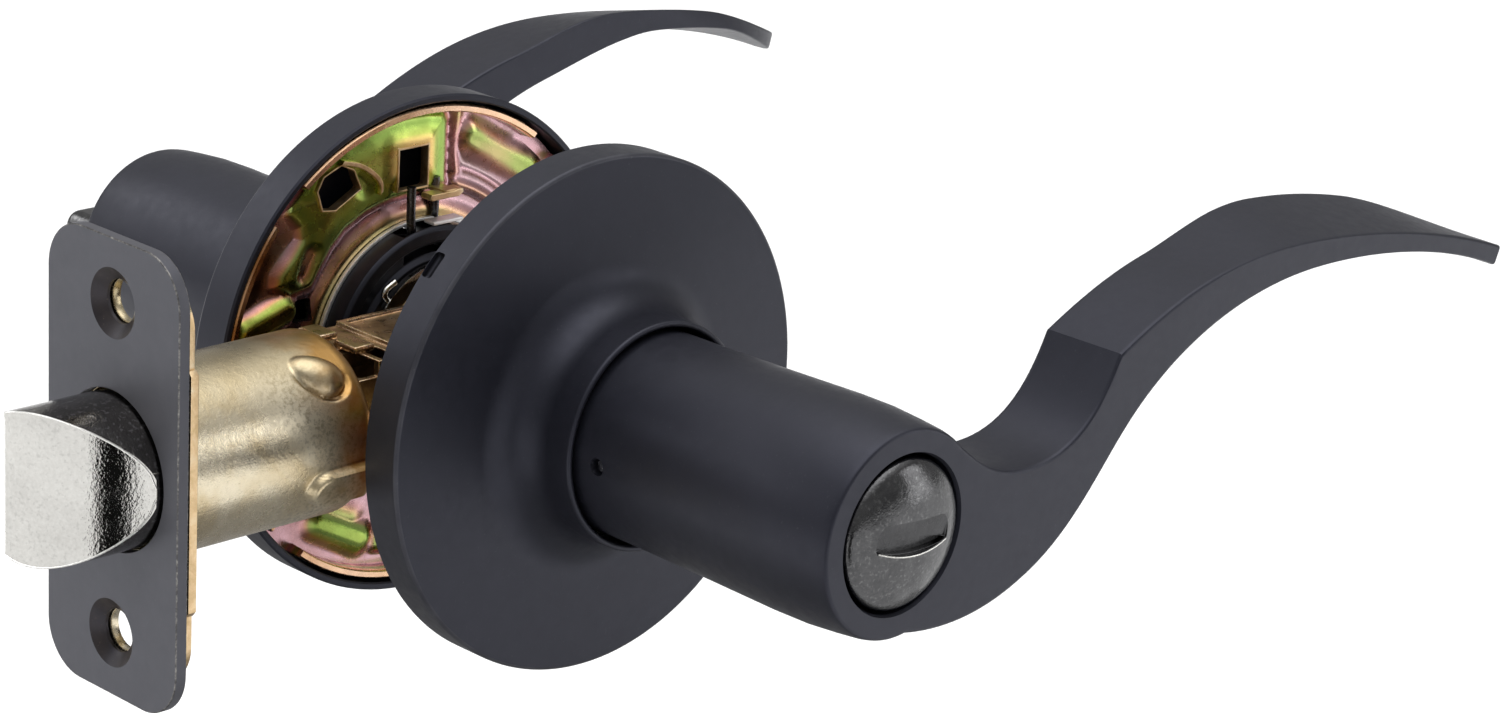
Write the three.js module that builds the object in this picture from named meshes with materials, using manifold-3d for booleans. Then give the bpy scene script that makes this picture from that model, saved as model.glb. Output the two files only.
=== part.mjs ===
// Door lever handle: a tubular privacy set with two wave levers, two round roses,
// their mounting plates and spindles, and a spring latch with a 60.3 mm backset.
//
// Millimetres, +Z up. The origin is where the lever spindle crosses the latch axis,
// in the middle of the door. The spindle runs along Y, with the outside trim at -Y.
// The latch runs along X, with its faceplate at -X. Each trim is drawn for the outside,
// and the inside trim is the same drawing mirrored in the XZ plane.

import * as THREE from 'three';
import { mergeVertices } from 'three/addons/utils/BufferGeometryUtils.js';
import Module from 'manifold-3d';

const wasm = await Module();
wasm.setup();

// ---------------------------------------------------------------- driving dimensions

const GAP = 0.3;                 // clearance between pieces that touch

const ROSE_RADIUS = 33.5;
const ROSE_REAR = 14.0;          // distance of the rose's rear rim from the door's middle
const ROSE_FACE = 19.8;
const ROSE_SHEET = 1.0;
const NECK_RADIUS = 14.8;
const NECK_END = 29.9;

const LEVER_FACE = 71.2;         // distance of the lever's flat front from the door's middle
const HUB_START = 24.5;
const HUB_RADIUS = 13.35;
const HUB_SWELL = 13.8;
const HUB_END_RADIUS = 12.9;
const HUB_BORE = 9.85;
const ARM_DEPTH = 12.2;
const ARM_REACH = 118;

const PLATE_RADIUS = 32.0;
const PLATE_HOLE = 16.9;
const PLATE_BACK = 18.1;
const PLATE_SHEET = 1.2;
const PLATE_RIM = 14.4;
const POST_X = 23.0;
const POST_RADIUS = 3.2;

const CAGE_RADIUS = 16.5;
const CAGE_FLOOR = 12.2;
const SLEEVE_RADIUS = 9.55;
const SLEEVE_START = 10.3;
const SPINDLE_RADIUS = 4.2;

const BACKSET = 60.3;
const FACEPLATE = { width: 25.4, height: 57.15, corner: 6.35, sheet: 1.6, holeZ: 20.65 };
const BOLT_RADIUS = 9.6;
const BOLT_THROW = 12.7;
const TUBE_RADIUS = 11.6;
const TUBE_END = -29.0;
const CASE = { start: -28.7, end: 14, halfDepth: 6.9, halfHeight: 9.2, sheet: 1.0 };

// ---------------------------------------------------------------- materials

function metal(color, roughness, metalness = 1) {
  return new THREE.MeshStandardMaterial({ color, roughness, metalness });
}

const MATTE_BLACK = metal(0x2b2c30, 0.55, 0.4);
const DARK_PEWTER = metal(0x4a4a4d, 0.25);
const YELLOW_ZINC = metal(0xc0a96a, 0.35);
const BRONZE_ZINC = metal(0x8f7448, 0.4);
const NICKEL = metal(0xc9c7c2, 0.25);
const SPRING_STEEL = metal(0x5d5d60, 0.4);
const BLACK_STEEL = metal(0x1a1a1c, 0.5, 0.6);

// ---------------------------------------------------------------- solids and booleans

function signedVolume(vertices, triangles) {
  const a = new THREE.Vector3();
  const b = new THREE.Vector3();
  const c = new THREE.Vector3();
  let sum = 0;
  for (let i = 0; i < triangles.length; i += 3) {
    a.fromArray(vertices, 3 * triangles[i]);
    b.fromArray(vertices, 3 * triangles[i + 1]);
    c.fromArray(vertices, 3 * triangles[i + 2]);
    sum += a.dot(b.cross(c));
  }
  return sum / 6;
}

// A geometry's surface as a manifold solid, with its faces turned outward.
function solid(geometry) {
  const bare = geometry.clone();
  bare.deleteAttribute('normal');
  bare.deleteAttribute('uv');
  const merged = mergeVertices(bare, 1e-4);
  const vertices = Float32Array.from(merged.attributes.position.array);
  const whole = [];
  const index = merged.index.array;
  for (let i = 0; i < index.length; i += 3) {
    const [p, q, r] = [index[i], index[i + 1], index[i + 2]];
    if (p !== q && q !== r && r !== p) whole.push(p, q, r);
  }
  const triangles = Uint32Array.from(whole);
  if (signedVolume(vertices, triangles) < 0) triangles.reverse();
  return new wasm.Manifold(
    new wasm.Mesh({ numProp: 3, vertProperties: vertices, triVerts: triangles }));
}

function join(...geometries) {
  return geometries.map(solid).reduce((whole, piece) => whole.add(piece));
}

function cut(body, ...tools) {
  return tools.reduce((whole, tool) => whole.subtract(tool), body);
}

function surface(manifold) {
  const mesh = manifold.getMesh();
  const geometry = new THREE.BufferGeometry();
  const positions = Float32Array.from(mesh.vertProperties);
  geometry.setAttribute('position', new THREE.BufferAttribute(positions, 3));
  geometry.setIndex(new THREE.BufferAttribute(Uint32Array.from(mesh.triVerts), 1));
  geometry.computeVertexNormals();
  return geometry;
}

// The same surface on the other side of the XZ plane.
function mirrored(geometry) {
  const copy = geometry.clone().scale(1, -1, 1);
  copy.index.array.reverse();
  copy.computeVertexNormals();
  return copy;
}

const door = new THREE.Group();

function add(name, manifold, material) {
  const mesh = new THREE.Mesh(surface(manifold), material);
  mesh.name = name;
  door.add(mesh);
}

// A piece of each trim: the outside one as drawn, the inside one mirrored.
function addTrim(name, side, manifold, material) {
  const geometry = surface(manifold);
  const mesh = new THREE.Mesh(side === 'inside' ? mirrored(geometry) : geometry, material);
  mesh.name = `${side}_${name}`;
  door.add(mesh);
}

// ---------------------------------------------------------------- shape helpers
// u is a distance from the door's middle plane, out along -Y.

const Y_TO_X = -Math.PI / 2;
const TO_PLATE_AXES = new THREE.Matrix4().makeBasis(
  new THREE.Vector3(0, 1, 0), new THREE.Vector3(0, 0, 1), new THREE.Vector3(1, 0, 0));

// A closed profile of (radius, u) points turned about the spindle.
function turned(points, segments = 28) {
  const profile = points.map(([radius, u]) => new THREE.Vector2(radius, -u));
  if (points[0][0] > 0) profile.push(profile[0].clone());
  return new THREE.LatheGeometry(profile, segments);
}

function ring(inner, outer, from, to, segments = 24) {
  return turned([[inner, from], [outer, from], [outer, to], [inner, to]], segments);
}

function pin(radius, from, to, segments = 24) {
  return turned([[0, from], [radius, from], [radius, to], [0, to]], segments);
}

// A closed profile of (radius, x) points turned about the latch axis.
function turnedX(points, segments = 28) {
  const profile = points.map(([radius, x]) => new THREE.Vector2(radius, x));
  if (points[0][0] > 0) profile.push(profile[0].clone());
  return new THREE.LatheGeometry(profile, segments).rotateZ(Y_TO_X);
}

function box(x, y, z) {
  const size = [x, y, z].map(([low, high]) => high - low);
  const middle = [x, y, z].map(([low, high]) => (low + high) / 2);
  return new THREE.BoxGeometry(...size).translate(...middle);
}

// A shape drawn in X and Z, thickened along -Y from one distance to another.
function slab(shape, from, to, options = {}) {
  const settings = { depth: to - from, bevelEnabled: false, curveSegments: 6, ...options };
  return new THREE.ExtrudeGeometry(shape, settings).rotateX(Math.PI / 2).translate(0, -from, 0);
}

// A shape drawn in Y and Z, thickened along +X.
function sheetX(shape, from, to) {
  const settings = { depth: to - from, bevelEnabled: false, curveSegments: 5 };
  return new THREE.ExtrudeGeometry(shape, settings).applyMatrix4(TO_PLATE_AXES)
    .translate(from, 0, 0);
}

function roundedRectangle(width, height, corner) {
  const [a, b] = [width / 2, height / 2];
  const shape = new THREE.Shape();
  shape.moveTo(a, b - corner);
  shape.absarc(a - corner, b - corner, corner, 0, Math.PI / 2);
  shape.absarc(corner - a, b - corner, corner, Math.PI / 2, Math.PI);
  shape.absarc(corner - a, corner - b, corner, Math.PI, 1.5 * Math.PI);
  shape.absarc(a - corner, corner - b, corner, 1.5 * Math.PI, 2 * Math.PI);
  shape.closePath();
  return shape;
}

// A cylinder along Y, for holes and posts away from the spindle.
function rodY(radius, x, z, from, to, segments = 14) {
  return pin(radius, from, to, segments).translate(x, 0, z);
}

// A wire with a six-sided section, swept along a curve.
function wire(curve, radius, steps) {
  const section = new THREE.Shape();
  section.absarc(0, 0, radius, 0, 2 * Math.PI);
  const settings = { steps, extrudePath: curve, bevelEnabled: false, curveSegments: 3 };
  return new THREE.ExtrudeGeometry(section, settings);
}

// ---------------------------------------------------------------- lever

const ROOT_TOP = THREE.MathUtils.degToRad(49);
const ROOT_BOTTOM = THREE.MathUtils.degToRad(-83);

// The wave seen from the front: down from the hub, up over a kink, and out to the tip.
function waveOutline() {
  const r = HUB_END_RADIUS;
  const shape = new THREE.Shape();
  shape.moveTo(r * Math.cos(ROOT_TOP), r * Math.sin(ROOT_TOP));
  shape.bezierCurveTo(13.0, 6.0, 16.0, 3.4, 22.5, 3.5);
  shape.bezierCurveTo(30.0, 3.6, 34.5, 7.5, 37.8, 14.8);
  shape.bezierCurveTo(46.0, 19.0, 55.0, 22.6, 68.0, 22.8);
  shape.bezierCurveTo(84.0, 23.0, 104.0, 19.4, ARM_REACH, 14.6);
  shape.lineTo(ARM_REACH - 1, 12.0);
  shape.bezierCurveTo(106.0, 16.2, 92.0, 18.9, 77.5, 18.9);
  shape.bezierCurveTo(62.0, 18.9, 49.0, 13.8, 40.5, 5.2);
  shape.bezierCurveTo(35.0, -0.4, 31.0, -7.5, 21.5, -11.2);
  shape.bezierCurveTo(15.0, -13.9, 8.0, -14.2, r * Math.cos(ROOT_BOTTOM), r * Math.sin(ROOT_BOTTOM));
  shape.absarc(0, 0, r, ROOT_BOTTOM, ROOT_TOP - 2 * Math.PI, true);
  return shape;
}

const TWIST_RISE = 2.7;          // how far the blade's door-side edge climbs above its front
const TWIST_FROM = 58;
const TWIST_TO = 80;
const UNTWIST_FROM = 106;
const NARROW_FROM = 84;
const TIP_WIDTH = 1.4;

function armDepthAt(x) {
  const along = THREE.MathUtils.clamp((x - NARROW_FROM) / (ARM_REACH - NARROW_FROM), 0, 1);
  return TIP_WIDTH + (ARM_DEPTH - TIP_WIDTH) * Math.sqrt(1 - along * along);
}

function twistAt(x) {
  const { smoothstep } = THREE.MathUtils;
  return TWIST_RISE * smoothstep(x, TWIST_FROM, TWIST_TO) * (1 - smoothstep(x, UNTWIST_FROM, ARM_REACH + 4));
}

// The flat slab of the wave, bent so that its door side narrows and climbs towards the tip.
function leverArm() {
  const geometry = slab(waveOutline(), LEVER_FACE - ARM_DEPTH, LEVER_FACE, { steps: 3 });
  const position = geometry.attributes.position;
  for (let i = 0; i < position.count; i += 1) {
    const x = position.getX(i);
    const back = (LEVER_FACE + position.getY(i)) / ARM_DEPTH;
    position.setY(i, back * armDepthAt(x) - LEVER_FACE);
    position.setZ(i, position.getZ(i) + back * twistAt(x));
  }
  return geometry;
}

const CATCH = { u: 33.3, radius: 0.8, hole: 1.1, from: -12.6, to: -9.9 };

// A hole through the wall on the latch side, for the catch pin.
function catchHole(from, to) {
  const { hole, u } = CATCH;
  return solid(turnedX([[0, from], [hole, from], [hole, to], [0, to]], 16).translate(0, -u, 0));
}

function lever() {
  const hub = turned([
    [0, HUB_START], [HUB_RADIUS, HUB_START], [HUB_RADIUS, 34], [13.55, 46], [HUB_SWELL, 58],
    [13.75, 63], [13.45, 67], [13.15, 70], [HUB_END_RADIUS, LEVER_FACE], [0, LEVER_FACE],
  ]);
  const bore = solid(pin(HUB_BORE, HUB_START - 1, LEVER_FACE + 1, 28));
  return cut(join(hub, leverArm()), bore, catchHole(-15, -9));
}

// ---------------------------------------------------------------- rose and mounting plate

// A drawn sheet cup with a short neck that the lever's hub turns in.
function rose(notch) {
  const flare = { r: 20.5, u: 26.0 };
  const path = new THREE.Path();
  path.moveTo(ROSE_RADIUS, ROSE_REAR);
  path.lineTo(ROSE_RADIUS, ROSE_FACE - 0.9);
  path.absarc(ROSE_RADIUS - 0.9, ROSE_FACE - 0.9, 0.9, 0, Math.PI / 2);
  path.lineTo(flare.r, ROSE_FACE + 0.4);
  path.absellipse(flare.r, flare.u, flare.r - NECK_RADIUS, flare.u - ROSE_FACE - 0.4,
    -Math.PI / 2, -Math.PI, true);
  path.lineTo(NECK_RADIUS, NECK_END - 0.3);
  path.lineTo(NECK_RADIUS - 0.3, NECK_END);
  path.lineTo(NECK_RADIUS - 0.8, NECK_END);
  path.absellipse(flare.r, flare.u, flare.r - NECK_RADIUS + 0.8, flare.u - ROSE_FACE + 0.6,
    -Math.PI, -Math.PI / 2);
  path.lineTo(ROSE_RADIUS - ROSE_SHEET - 0.4, ROSE_FACE - ROSE_SHEET);
  path.lineTo(ROSE_RADIUS - ROSE_SHEET, ROSE_FACE - ROSE_SHEET - 0.4);
  path.lineTo(ROSE_RADIUS - ROSE_SHEET, ROSE_REAR);
  const points = path.getPoints(2).map((point) => [point.x, point.y]);
  const cup = solid(turned(points, 36));
  return notch ? cut(cup, notch) : cup;
}

// The slot in the outside rose's rim that a flat blade levers it off by.
function pryNotch() {
  return solid(box([30, 36], [-ROSE_REAR - 1.6, -ROSE_REAR + 1], [-2.4, 2.4])
    .rotateY(THREE.MathUtils.degToRad(-137)));
}

function arcPad(fromDegrees, toDegrees, inner, outer, from, to) {
  const [a, b] = [fromDegrees, toDegrees].map(THREE.MathUtils.degToRad);
  const shape = new THREE.Shape();
  shape.absarc(0, 0, outer, a, b);
  shape.absarc(0, 0, inner, b, a, true);
  shape.closePath();
  return slab(shape, from, to);
}

const PAD_FACE = 15.3;
const SHEET_FRONT = PLATE_BACK - PLATE_SHEET;

// The stamped plate inside a rose: a stiffening rim, raised pads, slots and a spring tab.
function mountPlate(side) {
  const sheet = turned([
    [PLATE_HOLE, SHEET_FRONT], [PLATE_RADIUS - 1.2, SHEET_FRONT], [PLATE_RADIUS - 1.2, PLATE_RIM],
    [PLATE_RADIUS, PLATE_RIM], [PLATE_RADIUS, PLATE_BACK], [PLATE_HOLE, PLATE_BACK],
  ], 36);
  const pads = [[76, 142], [256, 322]].map(([a, b]) =>
    arcPad(a, b, 18.6, 28.6, PAD_FACE, SHEET_FRONT + 0.3));
  const tabRoot = box([2.2, 4.6], [-SHEET_FRONT - 0.3, -12.6], [18.9, 19.9]);
  const tabHead = box([-0.4, 4.6], [-14.9, -12.6], [18.9, 19.9]);
  const bosses = side === 'inside'
    ? [-POST_X, POST_X].map((x) => rodY(5.9, x, 0, 14.7, SHEET_FRONT + 0.3))
    : [];
  const springSlot = box([-3.4, 2.7], [-20, -12], [20.2, 27.4]);
  const legGroove = box([0.3, 2.1], [-SHEET_FRONT + 0.1, -15.0], [15, 20.3]);
  const screwSlots = [0, 180].map((turn) =>
    slab(roundedRectangle(11.5, 5.8, 2.8), 12, 20).translate(0, 0, 24.4)
      .rotateY(THREE.MathUtils.degToRad(-27 - turn)));
  const smallHole = box([-19.9, -17.1], [-20, -12], [5.9, 8.9]);
  const rimGaps = [135, 48, -134].map((angle) =>
    box([29.5, 33], [-SHEET_FRONT, -12], [-3.4, 3.4])
      .rotateY(THREE.MathUtils.degToRad(-angle)));
  const cuts = [springSlot, legGroove, smallHole, ...screwSlots, ...rimGaps];
  if (side === 'inside') {
    for (const x of [-POST_X, POST_X]) {
      cuts.push(rodY(2.6, x, 0, 12, 20));
      cuts.push(rodY(4.8, x, 0, 16.2, 20));
    }
  }
  return cut(join(sheet, ...pads, tabRoot, tabHead, ...bosses), ...cuts.map(solid));
}

// ---------------------------------------------------------------- spindle bearing and return spring

function springCage() {
  const cup = turned([
    [10.6, CAGE_FLOOR], [CAGE_RADIUS, CAGE_FLOOR], [CAGE_RADIUS, 18.2], [15.9, 18.2],
    [15.9, CAGE_FLOOR + 0.7], [10.6, CAGE_FLOOR + 0.7],
  ]);
  const legSlot = solid(box([-5.2, 3.4], [-19, -CAGE_FLOOR - 0.7], [10, 18]));
  return cut(solid(cup), legSlot);
}

const COIL = { radius: 14.6, wire: 0.6, from: 13.8, to: 15.9, legTop: 22.4 };

// A torsion spring: one leg down into a turn and a half of coil, and the other leg back up.
function returnSpring() {
  const first = Math.acos(-3.2 / COIL.radius);
  const last = Math.acos(1.2 / COIL.radius) + 2 * Math.PI;
  const turns = 24;
  const points = [new THREE.Vector3(-3.2, -COIL.from, COIL.legTop),
    new THREE.Vector3(-3.2, -COIL.from, 18)];
  for (let i = 0; i <= turns; i += 1) {
    const along = i / turns;
    const angle = first + along * (last - first);
    const u = COIL.from + along * (COIL.to - COIL.from);
    points.push(new THREE.Vector3(COIL.radius * Math.cos(angle), -u, COIL.radius * Math.sin(angle)));
  }
  points.push(new THREE.Vector3(1.2, -COIL.to, 18), new THREE.Vector3(1.2, -COIL.to, COIL.legTop));
  return solid(wire(new THREE.CatmullRomCurve3(points, false, 'centripetal'), COIL.wire, 38));
}

function bushing() {
  return solid(ring(SLEEVE_RADIUS + GAP, 12.6, 13.2, 20.5));
}

function sleeve(side) {
  const body = turned([
    [8.2, SLEEVE_START], [SLEEVE_RADIUS, SLEEVE_START], [SLEEVE_RADIUS, 58], [8.2, 58],
    [8.2, 32], [SPINDLE_RADIUS + GAP, 32], [SPINDLE_RADIUS + GAP, 29], [8.2, 29],
  ]);
  const whole = cut(solid(body), catchHole(-11, -7));
  const dogWindow = solid(box([7, 11], [-38.3, -33.7], [-1.9, 1.9]));
  return side === 'outside' ? cut(whole, dogWindow) : whole;
}

// The washer on the sleeve whose finger winds the return spring.
function springArm() {
  const washer = ring(SLEEVE_RADIUS + GAP, 12.9, 20.8, 22.2);
  const finger = box([-2, 2], [-22.2, -17.0], [-14.4, -12.75]);
  return join(washer, finger);
}

function retainingRing() {
  const opening = solid(box([-1.8, 1.8], [-13, -10], [-14, -8]));
  return cut(solid(ring(SLEEVE_RADIUS + GAP, 12.2, 10.9, 11.9)), opening);
}

function leverCatch() {
  const { from, to, radius, u } = CATCH;
  return solid(turnedX([[0, from], [radius, from], [radius, to], [0, to]], 12).translate(0, -u, 0));
}

// ---------------------------------------------------------------- privacy lock

const BUTTON_RADIUS = 9.5;
const BUTTON_BACK = 66.4;
const SHANK = { radius: 4.6, start: 50, bore: 3.0, boreEnd: 62 };

function shankProfile() {
  return [[SHANK.bore, SHANK.start], [SHANK.radius, SHANK.start], [SHANK.radius, BUTTON_BACK],
    [BUTTON_RADIUS, BUTTON_BACK]];
}

function releaseButton() {
  const dome = [[BUTTON_RADIUS, 70.9], [8.2, 71.9], [6.2, 72.7], [3.4, 73.2], [0, 73.4]];
  const body = turned([[0, SHANK.boreEnd], [SHANK.bore, SHANK.boreEnd], ...shankProfile(), ...dome]);
  const coinSlot = solid(box([-6.1, 6.1], [-75, -72.0], [-2.0, -0.4]));
  return cut(solid(body), coinSlot);
}

function turnButton() {
  const face = [[BUTTON_RADIUS, 71.0], [8.8, 71.8], [0, 71.8]];
  const body = turned([[0, SHANK.boreEnd], [SHANK.bore, SHANK.boreEnd], ...shankProfile(), ...face]);
  const paddle = slab(roundedRectangle(14.5, 4.6, 2.2), 71.2, 81.5);
  const crown = turnedX([[0, -7.25], [2.3, -5.6], [2.3, 5.6], [0, 7.25]], 16)
    .translate(0, -81.5, 0);
  return join(body, paddle, crown);
}

function lockRod() {
  return solid(box([-2.2, 2.2], [-61, 61], [-1.1, 1.1]));
}

function lockingDog() {
  return solid(box([5.0, 8.0], [-38, -34], [-1.6, 1.6]));
}

// ---------------------------------------------------------------- latch

function faceplate() {
  const { width, height, corner, sheet, holeZ } = FACEPLATE;
  const shape = roundedRectangle(width, height, corner);
  const plate = solid(sheetX(shape, -BACKSET, -BACKSET + sheet));
  const boltHole = solid(turnedX([[0, -62], [9.95, -62], [9.95, -58], [0, -58]]));
  const sinks = [-holeZ, holeZ].map((z) => solid(
    turnedX([[0, -62], [4.2, -62], [4.2, -BACKSET], [2.7, -BACKSET + 1.3], [2.7, -58], [0, -58]], 28)
      .translate(0, 0, z)));
  return cut(plate, boltHole, ...sinks);
}

const BACKPLATE_FRONT = -BACKSET + FACEPLATE.sheet + GAP;
const BACKPLATE_REAR = BACKPLATE_FRONT + 1.2;

function backplate() {
  const middle = roundedRectangle(25.0, 30.5, 1.2);
  const ends = roundedRectangle(23.4, 50.0, 5.6);
  const plate = join(sheetX(middle, BACKPLATE_FRONT, BACKPLATE_REAR),
    sheetX(ends, BACKPLATE_FRONT, BACKPLATE_REAR));
  const boltHole = solid(turnedX([[0, -62], [9.95, -62], [9.95, -55], [0, -55]]));
  const screwHoles = [-FACEPLATE.holeZ, FACEPLATE.holeZ].map((z) => solid(
    turnedX([[0, -62], [2.3, -62], [2.3, -55], [0, -55]], 20).translate(0, 0, z)));
  return cut(plate, boltHole, ...screwHoles);
}

const TUBE_START = BACKPLATE_REAR + GAP;

function latchTube() {
  const turnIn = 2.4;
  const wall = 0.9;
  const path = new THREE.Path();
  path.moveTo(TUBE_RADIUS - wall, TUBE_START);
  path.lineTo(TUBE_RADIUS, TUBE_START);
  path.absarc(TUBE_RADIUS - turnIn, TUBE_END - turnIn, turnIn, 0, Math.PI / 2);
  path.lineTo(TUBE_RADIUS - turnIn, TUBE_END - wall);
  path.absarc(TUBE_RADIUS - turnIn, TUBE_END - turnIn, turnIn - wall, Math.PI / 2, 0, true);
  const points = path.getPoints(2).map((point) => [point.x, point.y]);
  return solid(turnedX(points, 28));
}

// A folded steel case that carries the cam and lets the mounting posts through.
function latchCase() {
  const { start, end, halfDepth, halfHeight, sheet } = CASE;
  const outer = box([start, end], [-halfDepth, halfDepth], [-halfHeight, halfHeight]);
  const inside = halfDepth - sheet;
  const hollow = box([start + sheet, end + 1], [-inside, inside], [0.8 - halfHeight, halfHeight - 0.8]);
  const camHole = rodY(6.1, 0, 0, -9, 9, 32);
  const postHole = rodY(POST_RADIUS + 0.5, -POST_X, 0, -9, 9);
  const railHoles = [-1, 1].map((sign) =>
    box([start - 1, start + 2], [-1.9, 1.9], [5.8, 8.4]).scale(1, 1, sign));
  const windows = [-1, 1].map((sign) =>
    box([start + 5, -9], [-inside + 1.2, inside - 1.2], [7, 11]).scale(1, 1, sign));
  return cut(solid(outer), ...[hollow, camHole, postHole, ...railHoles, ...windows].map(solid));
}

// The bolt's round bar: a flat on the side that holds, and a convex ramp that faces the strike.
function latchBolt() {
  const nose = -BACKSET - BOLT_THROW + 0.1;
  const rear = -55;
  const flat = { y: 4.4, end: -58.9 };
  const toe = { x: -60.9, y: -9.45 };
  const beyond = 12;
  const bar = solid(turnedX([[0, nose], [BOLT_RADIUS, nose], [BOLT_RADIUS, rear], [0, rear]], 36));
  const outline = new THREE.Shape();
  outline.moveTo(nose, 3.6);
  outline.quadraticCurveTo(nose + 1.6, -4.6, toe.x, toe.y);
  outline.lineTo(toe.x, -beyond);
  outline.lineTo(rear, -beyond);
  outline.lineTo(rear, beyond);
  outline.lineTo(flat.end, beyond);
  outline.lineTo(flat.end, flat.y);
  outline.lineTo(nose + 0.6, flat.y);
  outline.closePath();
  const settings = { depth: 2 * beyond, bevelEnabled: false, curveSegments: 12 };
  const wedge = new THREE.ExtrudeGeometry(outline, settings).translate(0, 0, -beyond);
  return bar.intersect(solid(wedge));
}

const RAIL = { low: 6.2, high: 8.2, halfDepth: 1.5, end: 5 };

// The fork behind the bolt: a round head, two rails past the post and a lug for the cam.
function boltTail() {
  const head = turnedX([[0, -54.7], [8.4, -54.7], [8.4, -51.5], [0, -51.5]], 32);
  const rails = [-1, 1].map((sign) =>
    box([-53, RAIL.end], [-RAIL.halfDepth, RAIL.halfDepth], [RAIL.low, RAIL.high]).scale(1, 1, sign));
  const lug = box([2.4, 4.9], [-4.6, -1.2], [RAIL.low, RAIL.high - 0.1]);
  return join(head, ...rails, lug);
}

function boltSpring() {
  const coil = { from: -50.7, to: -29.4, radius: 4.6, wire: 0.45, turns: 8 };
  class Helix extends THREE.Curve {
    getPoint(t, target = new THREE.Vector3()) {
      const angle = 2 * Math.PI * coil.turns * t;
      const x = coil.from + t * (coil.to - coil.from);
      return target.set(x, coil.radius * Math.cos(angle), coil.radius * Math.sin(angle));
    }
  }
  return solid(wire(new Helix(), coil.wire, 8 * coil.turns));
}

function spindleCam() {
  const hub = ring(SPINDLE_RADIUS + GAP, 5.8, -7.2, 7.2, 32);
  const finger = box([-1.9, 1.9], [-4.6, -2.2], [5.2, 8.0]);
  return join(hub, finger);
}

function driveSpindle() {
  return solid(ring(3.1, SPINDLE_RADIUS, -31.5, 31.5, 24));
}

function mountingPost(x) {
  return cut(solid(rodY(POST_RADIUS, x, 0, -4.0, SHEET_FRONT - GAP)),
    solid(rodY(2.3, x, 0, -5, 6, 20)));
}

// Drawn from the inside plate's pocket to the post it screws into.
function mountingScrew(x) {
  const profile = [[0, -4], [1.9, -4], [1.9, 16.5], [4.4, 16.5], [4.4, 17.4], [3.6, 18.0], [0, 18.0]];
  const body = solid(turned(profile, 24).translate(x, 0, 0));
  const driveSlot = solid(box([x - 3.2, x + 3.2], [-19, -17.2], [-0.5, 0.5]));
  return cut(body, driveSlot);
}

// ---------------------------------------------------------------- assembly

for (const side of ['outside', 'inside']) {
  addTrim('rose', side, rose(side === 'outside' ? pryNotch() : null), MATTE_BLACK);
  addTrim('mount_plate', side, mountPlate(side), YELLOW_ZINC);
  addTrim('spring_cage', side, springCage(), BLACK_STEEL);
  addTrim('return_spring', side, returnSpring(), SPRING_STEEL);
  addTrim('bushing', side, bushing(), BLACK_STEEL);
  addTrim('lever', side, lever(), MATTE_BLACK);
  addTrim('sleeve', side, sleeve(side), BRONZE_ZINC);
  addTrim('spring_arm', side, springArm(), NICKEL);
  addTrim('retaining_ring', side, retainingRing(), NICKEL);
  addTrim('lever_catch', side, leverCatch(), NICKEL);
}

add('release_button', releaseButton(), DARK_PEWTER);
addTrim('turn_button', 'inside', turnButton(), DARK_PEWTER);
add('lock_rod', lockRod(), NICKEL);
add('locking_dog', lockingDog(), NICKEL);
add('drive_spindle', driveSpindle(), BRONZE_ZINC);
add('spindle_cam', spindleCam(), BRONZE_ZINC);

for (const [name, x] of [['left', -POST_X], ['right', POST_X]]) {
  add(`${name}_mounting_post`, mountingPost(x), BRONZE_ZINC);
  const screw = new THREE.Mesh(mirrored(surface(mountingScrew(x))), YELLOW_ZINC);
  screw.name = `${name}_mounting_screw`;
  door.add(screw);
}

add('faceplate', faceplate(), MATTE_BLACK);
add('backplate', backplate(), YELLOW_ZINC);
add('latch_tube', latchTube(), YELLOW_ZINC);
add('latch_case', latchCase(), BRONZE_ZINC);
add('latch_bolt', latchBolt(), NICKEL);
add('bolt_tail', boltTail(), BRONZE_ZINC);
add('bolt_spring', boltSpring(), SPRING_STEEL);

export default door;
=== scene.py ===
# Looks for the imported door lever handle: detailed pieces over the CAD frame, materials, light and camera.
# Shapes are drawn in millimetres in the CAD frame (+Z up, spindle along Y, latch along X) and turned
# to metres when a piece is finished. "u" is a distance from the door's middle plane.
import math

import bmesh
import bpy
import numpy as np
from mathutils import Matrix, Vector


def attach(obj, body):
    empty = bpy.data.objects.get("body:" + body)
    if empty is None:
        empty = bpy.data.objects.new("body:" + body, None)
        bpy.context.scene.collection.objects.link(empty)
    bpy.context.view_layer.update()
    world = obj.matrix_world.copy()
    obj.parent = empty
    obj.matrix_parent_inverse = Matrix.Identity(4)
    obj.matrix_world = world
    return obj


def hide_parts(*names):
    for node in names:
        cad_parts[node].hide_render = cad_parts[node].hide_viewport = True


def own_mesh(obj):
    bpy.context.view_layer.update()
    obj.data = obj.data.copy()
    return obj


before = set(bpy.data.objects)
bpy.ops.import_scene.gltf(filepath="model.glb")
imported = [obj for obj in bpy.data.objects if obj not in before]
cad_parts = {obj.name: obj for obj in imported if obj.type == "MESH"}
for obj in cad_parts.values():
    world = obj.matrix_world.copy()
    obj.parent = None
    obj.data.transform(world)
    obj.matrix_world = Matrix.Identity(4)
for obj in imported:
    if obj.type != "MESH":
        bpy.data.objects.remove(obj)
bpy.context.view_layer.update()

MM = 0.001

# ---------------- materials


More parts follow.
